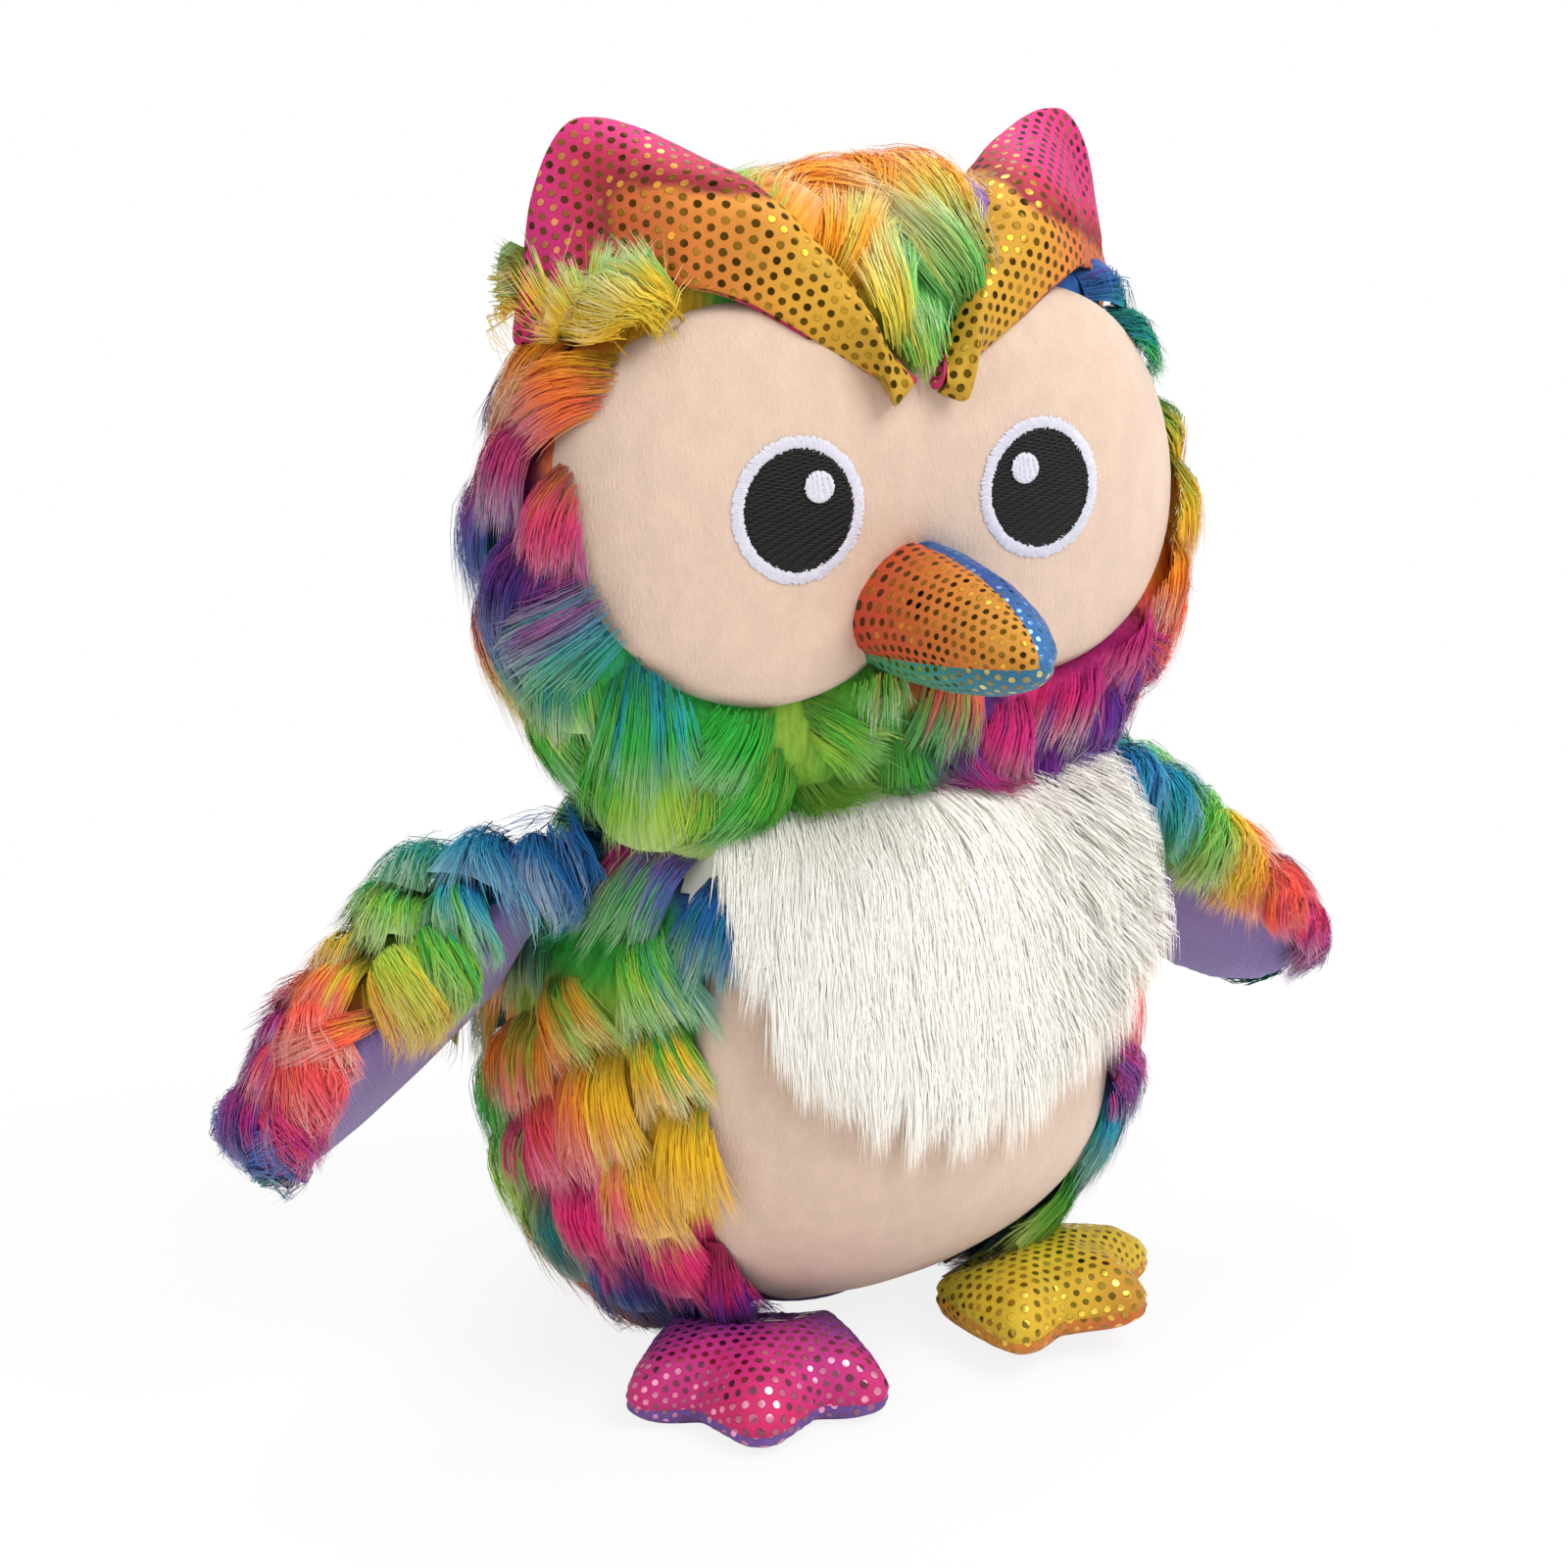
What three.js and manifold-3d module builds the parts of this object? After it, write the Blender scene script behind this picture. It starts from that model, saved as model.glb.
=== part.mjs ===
// A stuffed plush owl that stands on a flat base, with stuffed wings and feet.
// Millimetres, +Z up. The owl faces -Y, its left side is +X, and the origin is the middle of
// the base panel, on the ground.
//
// Every cover is a sewn fabric shell: its inner face lies on the skin, the surface that the
// stuffing fills, and its outer face is the top of the fabric's pile.

import * as THREE from "three";
import { mergeVertices } from "three/addons/utils/BufferGeometryUtils.js";
import Module from "manifold-3d";

const wasm = await Module();
wasm.setup();

// Fabrics
const seamGap = 0.3; // clear space kept between neighbouring pieces
const hingeGap = 0.6; // clear space round a seam that bends
const cutOverrun = 30; // how far a cutting shape runs past what it cuts
const weldDistance = 1e-4; // vertices nearer than this are one
const backing = 1.5; // knitted backing of every pile fabric
const furPile = 6.5; // long rosette pile of the head, body and wings
const minkyPile = 2; // short pile of the face and belly
const bibPile = 9; // long straight pile of the chest
const furCover = backing + furPile;
const minkyCover = backing + minkyPile;
const bibCover = backing + bibPile;
const tuftPitch = 21; // from one tuft of the long pile to the next
const tuftParting = 4.5; // how deep the pile is parted round each tuft
const tuftLeanShare = 0.25; // how far a tuft's top hangs below its middle, as a share of the pitch
// The pile isn't parted within the first distance of a hinge seam, and is in full beyond the second.
const tuftCalm = { seam: 15, full: 32 };
const tuftGround = { low: 6, full: 22 }; // heights between which the partings begin

// Body
const neckHeight = 120;
const bodyHalfWidth = 65.5; // skin, without the pile
const bodyHalfDepth = 58;
const bellyForward = 3; // how far the belly bulges in front of the middle
const neckForward = 8; // how far the shoulders lean in front of the middle
const underBellyRise = 18; // how far the base draws back under the belly
const underBellyHeight = 48; // where the belly has come forward over the base
const baseHeight = 2.3; // underside of the stuffing
const baseRadius = 22; // flat underside of the skin
const baseCornerRadius = 33;
const baseCornerHeight = 6.5;
const basePanelRadius = 20;
const basePanelBehind = 9; // middle of the base panel behind the middle of the body
const basePanelThickness = 2;
const neckRadius = 35;
// Skin profile between the base and the neck, as [share of half width, share of neck height]
const bodyProfileShares = [
  [0.72, 0.12],
  [0.88, 0.23],
  [0.98, 0.36],
  [1.0, 0.48],
  [0.97, 0.61],
  [0.88, 0.76],
  [0.76, 0.9],
];
const bodySteps = { around: 30, profile: 12 };
const coreSteps = { around: 20, profile: 9 };

// Belly panel and chest bib, as ellipses seen from the front
const bellyPanel = { height: 66, halfWidth: 48, halfHeight: 62 };
const chestBib = { height: 117, halfWidth: 45, halfHeight: 38 };

// Head
const headHeight = 171; // middle of the skull
const headForward = 21.8; // middle of the skull in front of the neck
const headHalfWidth = 70.5;
const headFrontDepth = 20.3;
const headBackDepth = 60;
const headRise = 66;
const headDrop = 60;
// 2 is an ellipsoid, and more is boxier
const headFullness = { front: 2.88, back: 2.0, upper: 2.05, lower: 2.2 };
const headSteps = { around: 30, down: 16 };
const skullSteps = { around: 20, down: 12 };

// Face panel, a mask of two eye lobes and a middle, as ellipses seen from the front
const faceLobe = { across: 29.8, height: 182.9, halfWidth: 38, halfHeight: 38.6 };
const faceMiddle = { across: 0, height: 176, halfWidth: 24, halfHeight: 28 };

// Embroidered eyes
const eye = { across: 26.7, height: 183.3 };
const eyeWhiteRadius = 13.7;
const eyePupilRadius = 11.6;
const eyeGlintRadius = 3;
const eyeGlintOffset = { across: 4, up: 4.2 }; // towards the beak, and up
const embroideryThickness = 1.1;

// Beak
const beakHeight = 160.5; // middle of its root
const beakLength = 50; // from inside the face to the tip
const beakRootDepth = 38.5; // how far in front of the middle its root is
const beakHalfWidth = 15.2;
const beakRise = 15;
const beakDrop = 12.5;
const beakTipDrop = 1.5; // how far the tip hooks down
const beakTipRadius = 4;
const beakSeamDrop = 7; // seam of the lower panel below the root's middle
const beakPanelThickness = 1.4;

// Ears, each one long pocket that stands up as an ear and folds down as a brow
const earThickness = 4.2;
const browThickness = 6.4;
const earEdgeThickness = 1.2;

// Wings
const wingRoot = { across: 61.7, forward: 4, height: 100 }; // middle of the hinge seam
const wingLength = 77;
const wingDroop = 35; // degrees below level
const wingSweep = 4; // degrees forward
const wingTwist = 45; // degrees that the lining turns to the front
const wingRootSkew = 45; // degrees that the hinge seam slants across the wing
const wingFlap = { down: 18, up: 35 }; // degrees from rest
const wingRootChord = 28;
const wingChord = 37;
const wingRootRadius = 2.6;
const wingFurBulge = 18;
const wingLiningBulge = 3;
const wingBattingBulge = 6.5;
const wingLiningThickness = 1.4;
const wingBattingInset = 2;

// Feet
const footHinge = { across: 27.5, forward: 27.5, height: 8.5 }; // middle of the hinge seam
const footToeOut = 25; // degrees
const footLift = { left: 9, right: 0 }; // degrees that the toes are raised at rest
const footRaise = 18; // degrees above level where the instep meets the belly
const footLength = 42.5; // from the hinge seam to the middle toe
const footRootWidth = 34;
const footWidth = 54.5;
const footToeReach = 29.3; // from the hinge seam to the outer toes
const footWebReach = 29.3; // from the hinge seam to the notches between the toes
const footHeight = 16;
const footEdgeHeight = 4.6; // seam height of the toes above the ground
const footRootRadius = 2.4;
const footPanelThickness = 1.2;

const degrees = Math.PI / 180;

// A closed solid from a three.js geometry, turned to face out.
function solidOf(geometry) {
  const bare = new THREE.BufferGeometry();
  bare.setAttribute("position", geometry.getAttribute("position"));
  if (geometry.index) bare.setIndex(geometry.index);
  const merged = mergeVertices(bare.index ? bare.toNonIndexed() : bare, weldDistance);
  const vertProperties = merged.attributes.position.array;
  const triVerts = new Uint32Array(merged.index.array);
  let made = new wasm.Manifold(new wasm.Mesh({ numProp: 3, vertProperties, triVerts }));
  if (made.volume() < 0) {
    for (let i = 0; i < triVerts.length; i += 3) {
      [triVerts[i + 1], triVerts[i + 2]] = [triVerts[i + 2], triVerts[i + 1]];
    }
    made = new wasm.Manifold(new wasm.Mesh({ numProp: 3, vertProperties, triVerts }));
  }
  return made;
}

function geometryOf(solid) {
  const mesh = solid.getMesh();
  const geometry = new THREE.BufferGeometry();
  geometry.setAttribute("position", new THREE.BufferAttribute(new Float32Array(mesh.vertProperties), 3));
  geometry.setIndex(new THREE.BufferAttribute(new Uint32Array(mesh.triVerts), 1));
  return geometry;
}

// Moves each vertex of a geometry to where place() puts it.
function reshape(geometry, place) {
  const position = geometry.getAttribute("position");
  for (let i = 0; i < position.count; i += 1) {
    const moved = place(new THREE.Vector3().fromBufferAttribute(position, i));
    position.setXYZ(i, moved.x, moved.y, moved.z);
  }
  return geometry;
}

// A closed solid through rings of equally many points, closed at both ends. The facets of a
// ring's two halves mirror each other, so that layers laid on each other have facets alike.
function loft(rings) {
  const count = rings[0].length;
  const points = rings.flat();
  const triangles = [];
  for (let r = 0; r + 1 < rings.length; r += 1) {
    for (let i = 0; i < count; i += 1) {
      const a = r * count + i;
      const b = r * count + ((i + 1) % count);
      if (i < count / 2) triangles.push(a, b, a + count, b, b + count, a + count);
      else triangles.push(a, b, b + count, a, b + count, a + count);
    }
  }
  for (const [ring, turn] of [[0, 1], [rings.length - 1, -1]]) {
    const middle = new THREE.Vector3();
    for (const point of rings[ring]) middle.addScaledVector(point, 1 / count);
    const hub = points.push(middle) - 1;
    for (let i = 0; i < count; i += 1) {
      const a = ring * count + i;
      const b = ring * count + ((i + 1) % count);
      triangles.push(...(turn > 0 ? [hub, b, a] : [hub, a, b]));
    }
  }
  const geometry = new THREE.BufferGeometry().setFromPoints(points);
  geometry.setIndex(triangles);
  return solidOf(geometry);
}

// The half space on one side of a level plane, as a large box.
function slabBetween(low, high) {
  const wide = 4 * (bodyHalfWidth + headHalfWidth);
  const box = new THREE.BoxGeometry(wide, wide, high - low);
  return solidOf(box.translate(0, 0, (low + high) / 2));
}

// An upright ellipse seen from the front, as a prism that reaches from near the middle forward.
function frontEllipse({ across = 0, height, halfWidth, halfHeight }, grow, sides = 20) {
  const outline = new THREE.Shape();
  outline.absellipse(across, height, halfWidth + grow, halfHeight + grow, 0, 2 * Math.PI);
  const depth = bodyHalfDepth + headFrontDepth + cutOverrun;
  const prism = new THREE.ExtrudeGeometry(outline, {
    depth,
    bevelEnabled: false,
    curveSegments: sides,
  });
  prism.rotateX(Math.PI / 2);
  return solidOf(prism);
}

// Copies a solid to the owl's other side.
function mirrored(solid) {
  return solid.mirror([1, 0, 0]);
}

// Turns a solid about a line, by degrees.
function turned(solid, origin, direction, angle) {
  const turn = new THREE.Matrix4().makeRotationAxis(direction, angle * degrees);
  const away = new THREE.Matrix4().makeTranslation(-origin.x, -origin.y, -origin.z);
  const back = new THREE.Matrix4().makeTranslation(origin.x, origin.y, origin.z);
  return solid.transform(back.multiply(turn).multiply(away).toArray());
}

// Outline of the body pushed out by offset, from the middle of its base to the middle of its top.
function bodyProfile(offset, steps, topHeight) {
  const skin = [
    new THREE.Vector2(baseCornerRadius, baseCornerHeight),
    ...bodyProfileShares.map(([r, h]) => new THREE.Vector2(r * bodyHalfWidth, h * neckHeight)),
    new THREE.Vector2(neckRadius, neckHeight),
  ];
  skin.unshift(new THREE.Vector2(baseRadius, baseHeight));
  const curve = new THREE.SplineCurve(skin);
  const points = [];
  for (let i = 0; i <= steps.profile; i += 1) {
    const t = i / steps.profile;
    const point = curve.getPoint(t);
    const along = curve.getTangent(t);
    const out = new THREE.Vector2(along.y, -along.x);
    points.push(point.addScaledVector(out, offset));
  }
  const last = points[points.length - 1];
  const profile = [new THREE.Vector2(0, points[0].y), ...points];
  if (topHeight > last.y) profile.push(new THREE.Vector2(last.x, topHeight));
  profile.push(new THREE.Vector2(0, Math.max(topHeight, last.y)));
  return profile;
}

// Turns a place on the round body into the owl's body, which leans and bulges forward.
function bodyPlace(p) {
  const bulge = Math.sin(Math.PI * THREE.MathUtils.clamp(p.y / neckHeight, 0, 1));
  const lean = THREE.MathUtils.smoothstep(p.y, neckHeight / 2, neckHeight);
  const under = 1 - THREE.MathUtils.smoothstep(p.y, 0, underBellyHeight);
  const facing = (1 + p.z / Math.max(Math.hypot(p.x, p.z), seamGap)) / 2;
  const behind = underBellyRise * under * facing - bellyForward * bulge - neckForward * lean;
  return new THREE.Vector3(p.x, behind - (p.z * bodyHalfDepth) / bodyHalfWidth, p.y);
}

// Body skin pushed out by offset, standing on the ground plane.
function bodyForm(offset, steps, topHeight = neckHeight) {
  const profile = bodyProfile(offset, steps, topHeight);
  return solidOf(reshape(new THREE.LatheGeometry(profile, steps.around), bodyPlace));
}

// The place on the head's skin, pushed out by offset, that a direction leads to.
function headPlace(p, offset) {
  const level = THREE.MathUtils.lerp(headFullness.back, headFullness.front, (1 + p.z) / 2);
  const upright = THREE.MathUtils.lerp(headFullness.lower, headFullness.upper, (1 + p.y) / 2);
  const around = (Math.abs(p.x) ** level + Math.abs(p.z) ** level) ** (upright / level);
  const full = (around + Math.abs(p.y) ** upright) ** (-1 / upright);
  const depth = p.z > 0 ? headFrontDepth : headBackDepth;
  const tall = p.y > 0 ? headRise : headDrop;
  return new THREE.Vector3(
    p.x * full * (headHalfWidth + offset),
    -headForward - p.z * full * (depth + offset),
    headHeight + p.y * full * (tall + offset),
  );
}

// Head skin pushed out by offset.
function headForm(offset, steps) {
  const sphere = new THREE.SphereGeometry(1, steps.around, steps.down);
  return solidOf(reshape(sphere, (p) => headPlace(p, offset)));
}

// How deep the pile is parted at a place, from 0 by a hinge seam or the ground to 1 in the open.
function partingShare(place) {
  const wing = new THREE.Vector3(wingRoot.across, -wingRoot.forward, wingRoot.height);
  const foot = new THREE.Vector3(footHinge.across, -footHinge.forward, footHinge.height);
  const near = new THREE.Vector3(Math.abs(place.x), place.y, place.z);
  const gap = Math.min(near.distanceTo(wing), near.distanceTo(foot));
  const clear = THREE.MathUtils.smoothstep(gap, tuftCalm.seam, tuftCalm.full);
  return clear * THREE.MathUtils.smoothstep(place.z, tuftGround.low, tuftGround.full);
}

// A round form in fur. Its tufts are spread over it like the seeds of a sunflower, each one a
// low hill that hangs downwards, with partings where the hills meet. The two functions give
// the places on the tops of the tufts and in the partings that a direction leads to.
function tuftedForm(count, topAt, partingAt) {
  const goldenTurn = Math.PI * (3 - Math.sqrt(5));
  const seeds = [];
  for (let i = 0; i < count; i += 1) {
    const up = (2 * i + 1) / count - 1;
    const out = Math.sqrt(1 - up * up);
    seeds.push([out * Math.cos(i * goldenTurn), up, out * Math.sin(i * goldenTurn)]);
  }
  const hull = wasm.Manifold.hull(seeds).getMesh();
  const directions = [];
  for (let i = 0; i < hull.numVert; i += 1) {
    directions.push(new THREE.Vector3().fromArray(hull.vertProperties, i * hull.numProp));
  }
  const middles = [];
  const across = new Map();
  for (let t = 0; t < hull.numTri; t += 1) {
    const corners = [0, 1, 2].map((k) => hull.triVerts[3 * t + k]);
    const middle = new THREE.Vector3();
    for (const corner of corners) middle.add(directions[corner]);
    middles.push(middle.normalize());
    corners.forEach((a, k) => across.set(`${a} ${corners[(k + 1) % 3]}`, t));
  }
  const lean = tuftLeanShare * Math.sqrt((4 * Math.PI) / count);
  const hang = new THREE.Vector3(0, -lean, 0);
  const tops = directions.map((d) => {
    const fall = hang.clone().addScaledVector(d, -hang.dot(d));
    return topAt(d.clone().add(fall).normalize());
  });
  const partings = middles.map((d) => {
    const top = topAt(d);
    return top.lerp(partingAt(d), partingShare(top));
  });
  const triangles = [];
  for (const [edge, t] of across) {
    const [a, b] = edge.split(" ").map(Number);
    const beyond = across.get(`${b} ${a}`);
    triangles.push(a, tops.length + beyond, tops.length + t);
  }
  const geometry = new THREE.BufferGeometry().setFromPoints([...tops, ...partings]);
  geometry.setIndex(triangles);
  return solidOf(geometry);
}

// How many tufts an area holds.
const tuftsIn = (area) => Math.round(area / (tuftPitch ** 2 * Math.sin(Math.PI / 3)));

function tuftedHead() {
  const areas = [headHalfWidth * headRise, headHalfWidth * headBackDepth, headBackDepth * headRise];
  const count = tuftsIn((4 * Math.PI * (areas[0] + areas[1] + areas[2])) / areas.length);
  return tuftedForm(
    count,
    (d) => headPlace(d, furCover),
    (d) => headPlace(d, furCover - tuftParting),
  );
}

// The body's outline is walked by the area that it sweeps, so that the tufts spread evenly.
function tuftedBody() {
  const steps = { profile: 4 * bodySteps.profile };
  const top = neckHeight + cutOverrun;
  const outlines = [0, tuftParting].map((parting) => bodyProfile(furCover - parting, steps, top));
  const swept = [0];
  for (let i = 1; i < outlines[0].length; i += 1) {
    const [from, to] = [outlines[0][i - 1], outlines[0][i]];
    swept.push(swept[i - 1] + Math.PI * (from.x + to.x) * from.distanceTo(to));
  }
  const total = swept[swept.length - 1];
  const placeOn = (outline) => (d) => {
    const area = (total * (1 + d.y)) / 2;
    const next = Math.max(1, swept.findIndex((s) => s >= area));
    const share = (area - swept[next - 1]) / (swept[next] - swept[next - 1]);
    const at = outline[next - 1].clone().lerp(outline[next], share);
    const flat = Math.max(Math.hypot(d.x, d.z), Number.EPSILON);
    return bodyPlace(new THREE.Vector3((at.x * d.x) / flat, at.y, (at.x * d.z) / flat));
  };
  return tuftedForm(tuftsIn(total), placeOn(outlines[0]), placeOn(outlines[1]));
}

function faceMask(grow) {
  const lobe = frontEllipse(faceLobe, grow);
  return lobe.add(mirrored(lobe)).add(frontEllipse(faceMiddle, grow));
}

// A round column that points forward at a place on the face.
function faceColumn(across, height, radius, sides = 24) {
  const depth = headForward + headFrontDepth;
  const column = new THREE.CylinderGeometry(radius, radius, 2 * depth, sides);
  return solidOf(column.translate(across, -depth, height));
}

// Beak cross-section at a share of its length, drawn in by inset.
function beakRing(share, inset, sides = 16) {
  const taper = Math.sqrt(1 - share ** 2.3);
  const sizes = [beakHalfWidth, beakRise, beakDrop].map(
    (size) => Math.max(beakTipRadius * taper, size * taper) - inset,
  );
  const [halfWidth, rise, drop] = sizes.map((size) => Math.max(size, seamGap));
  const ring = [];
  for (let i = 0; i < sides; i += 1) {
    const angle = (2 * Math.PI * i) / sides;
    const up = Math.sin(angle);
    const pinch = up > 0 ? 1 - 0.22 * up ** 2 : 1;
    ring.push(
      new THREE.Vector3(
        Math.cos(angle) * halfWidth * pinch,
        -(beakRootDepth + share * (beakLength - inset)),
        beakHeight - beakTipDrop * share ** 2 + up * (up > 0 ? rise : drop),
      ),
    );
  }
  return ring;
}

function beakForm(inset) {
  const shares = [0, 0.3, 0.55, 0.75, 0.9, 0.98];
  return loft(shares.map((share) => beakRing(share, inset)));
}

// Everything below the seam of the lower beak panel, which runs up to the tip, moved by offset.
function beakBelowSeam(offset) {
  const depth = beakLength + cutOverrun;
  const box = new THREE.BoxGeometry(4 * beakHalfWidth, depth, 4 * beakDrop);
  const slope = Math.atan2(beakTipDrop - beakSeamDrop, beakLength);
  box.translate(0, (cutOverrun - depth) / 2, -2 * beakDrop);
  box.rotateX(slope);
  return solidOf(box.translate(0, -beakRootDepth, beakHeight - beakSeamDrop + offset));
}

// The space on one side of the middle plane, from x = gap outward.
function sideOf(sign, gap) {
  const size = 4 * headHalfWidth;
  const box = new THREE.BoxGeometry(size, size, size);
  return solidOf(box.translate(sign * (size / 2 + gap), -beakRootDepth, beakHeight));
}

// Ear and brow: the free edge runs over the ear tip to the brow point, and the sewn edge
// follows the head seam. Points are shares of the half width, front depth and head rise.
const earFreeShares = [
  [0.894, 0.83, 0.652],
  [0.901, 0.75, 0.909],
  [0.851, 0.7, 1.136],
  [0.766, 0.69, 1.25],
  [0.582, 0.51, 1.211],
  [0.383, 0.26, 1.076],
  [0.262, -0.18, 0.917],
  [0.142, -0.77, 0.712],
  [0.041, -1.31, 0.53],
];
const earSewnShares = [
  [0.887, 0.73, 0.606],
  [0.872, 0.43, 0.659],
  [0.816, 0.11, 0.72],
  [0.723, -0.18, 0.765],
  [0.617, -0.53, 0.8],
  [0.482, -0.82, 0.758],
  [0.333, -0.97, 0.664],
  [0.184, -1.04, 0.57],
  [0.048, -1.09, 0.485],
];
// Front bulge of the pocket along its length: hollow at the ear tip, full at the brow
const earBulgeShares = [0.1, -0.3, -0.6, -0.7, 0.2, 1, 0.8, 0.4, 0.1];

function earPoint([x, y, z]) {
  return new THREE.Vector3(
    x * headHalfWidth,
    -headForward + y * headFrontDepth,
    headHeight + z * headRise,
  );
}

// One layer of the pocket between two shares of its thickness, drawn in by inset.
function earLayer(low, high, inset) {
  const free = new THREE.CatmullRomCurve3(earFreeShares.map(earPoint));
  const sewn = new THREE.CatmullRomCurve3(earSewnShares.map(earPoint));
  const bulge = new THREE.CatmullRomCurve3(
    earBulgeShares.map((b, i) => new THREE.Vector3(i, b, 0)),
  );
  const steps = 16;
  const across = 5;
  const rings = [];
  for (let r = 0; r <= steps; r += 1) {
    const t = r / steps;
    const start = free.getPoint(t);
    const end = sewn.getPoint(t);
    const along = free.getTangent(t).add(sewn.getTangent(t)).normalize();
    const width = end.clone().sub(start);
    const spread = Math.min(inset, 0) / width.length();
    const past = r === 0 ? -1 : r === steps ? 1 : 0;
    const front = new THREE.Vector3().crossVectors(width, along).normalize();
    if (front.y > 0) front.negate();
    const thick = THREE.MathUtils.lerp(earThickness, browThickness, t);
    const crown = bulge.getPoint(t).y * browThickness;
    const at = (s, layer, drawn) => {
      const lens = 1 - (2 * s - 1) ** 2;
      const lift = crown * lens + layer * (earEdgeThickness + (thick - earEdgeThickness) * lens);
      return start
        .clone()
        .addScaledVector(width, THREE.MathUtils.lerp(spread, 1 - spread, s))
        .addScaledVector(along, past * Math.max(-inset, 0))
        .addScaledVector(front, lift + drawn);
    };
    const ring = [];
    for (let i = 0; i <= across; i += 1) ring.push(at(i / across, high, -inset));
    for (let i = across; i >= 0; i -= 1) ring.push(at(i / across, low, inset));
    rings.push(ring);
  }
  return loft(rings);
}

// Wing frame on the owl's left: along the wing, along its chord to the front edge, and out
// of its fur side.
function wingFrame() {
  const droop = wingDroop * degrees;
  const sweep = wingSweep * degrees;
  const twist = wingTwist * degrees;
  const along = new THREE.Vector3(
    Math.cos(droop) * Math.cos(sweep),
    -Math.cos(droop) * Math.sin(sweep),
    -Math.sin(droop),
  );
  const forward = new THREE.Vector3(0, -1, 0);
  forward.addScaledVector(along, -forward.dot(along)).normalize();
  const inward = new THREE.Vector3().crossVectors(forward, along);
  if (inward.z > 0) inward.negate();
  const chord = forward.clone().multiplyScalar(Math.cos(twist));
  chord.addScaledVector(inward, -Math.sin(twist));
  const out = inward.clone().multiplyScalar(-Math.cos(twist));
  out.addScaledVector(forward, -Math.sin(twist));
  const origin = new THREE.Vector3(wingRoot.across, -wingRoot.forward, wingRoot.height);
  const skew = Math.tan(wingRootSkew * degrees);
  const hinge = along.clone().multiplyScalar(skew).sub(chord).normalize();
  return { origin, along, chord, out, skew, hinge };
}

// Half chord of the wing at a share of its length: narrow at the root, round at the tip.
function wingHalfChord(share) {
  const spread = THREE.MathUtils.smoothstep(share, 0, 0.45);
  const full = THREE.MathUtils.lerp(wingRootChord, wingChord, spread) / 2;
  const tipStart = 0.62;
  const past = Math.max(0, (share - tipStart) / (1 - tipStart));
  return full * Math.sqrt(1 - past ** 2.6);
}

// How full the wing's bulge is at a share of its length: flat at the hinge seam.
function wingFullness(share) {
  const swell = THREE.MathUtils.smoothstep(share, 0, 0.15);
  const past = Math.max(0, (share - 0.35) / 0.65);
  return swell * Math.sqrt(1 - 0.85 * past ** 1.8);
}

// One fabric or batting layer of the wing between two bulges, at a base level.
function wingLayer(low, high, inset = 0) {
  const { origin, along, chord, out, skew } = wingFrame();
  const across = 7;
  const shares = [0, 0.08, 0.18, 0.3, 0.45, 0.6, 0.74, 0.86, 0.94, 0.985];
  const rings = shares.map((share) => {
    const half = Math.max(wingHalfChord(share) - inset, seamGap);
    const full = wingFullness(share);
    const slant = skew * (1 - THREE.MathUtils.smoothstep(share, 0, 0.7));
    const reach = inset + share * (wingLength - 2 * inset);
    const at = (s, { level, bulge }) =>
      origin
        .clone()
        .addScaledVector(along, reach - s * half * slant)
        .addScaledVector(chord, s * half)
        .addScaledVector(out, level + bulge * full * (1 - s * s));
    const ring = [];
    for (let i = 0; i <= across; i += 1) ring.push(at((2 * i) / across - 1, low));
    for (let i = across; i >= 0; i -= 1) ring.push(at((2 * i) / across - 1, high));
    return ring;
  });
  return loft(rings);
}

// A round bar along a hinge seam, for the notch that the seam presses into its neighbour.
function hingeBar(middle, direction, length, radius) {
  const bar = new THREE.CylinderGeometry(radius, radius, length, 20);
  const turn = new THREE.Quaternion().setFromUnitVectors(new THREE.Vector3(0, 1, 0), direction);
  bar.applyQuaternion(turn).translate(middle.x, middle.y, middle.z);
  return solidOf(bar);
}

// Foot frame on the owl's left: forward along the foot, and sideways along its hinge seam.
function footFrame() {
  const turn = footToeOut * degrees;
  const along = new THREE.Vector3(Math.sin(turn), -Math.cos(turn), 0);
  const side = new THREE.Vector3(Math.cos(turn), Math.sin(turn), 0);
  const origin = new THREE.Vector3(footHinge.across, -footHinge.forward, 0);
  return { origin, along, side };
}

// The foot's outline from above: a straight hinge seam, and three round toes in front.
function footOutline() {
  const half = footWidth / 2;
  const rootHalf = footRootWidth / 2;
  const web = half * 0.45;
  const right = [
    [0, rootHalf],
    [footToeReach * 0.45, half * 0.86],
    [footToeReach * 0.86, half],
    [footToeReach, half * 0.92],
    [footToeReach * 1.04, half * 0.76],
    [footWebReach * 1.04, web],
    [footLength * 0.94, half * 0.2],
  ];
  const left = right.map(([u, v]) => [u, -v]).reverse();
  const shown = [...right, [footLength, 0], ...left];
  const curve = new THREE.SplineCurve(shown.map(([u, v]) => new THREE.Vector2(u, v)));
  return curve.getPoints(20);
}

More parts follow.
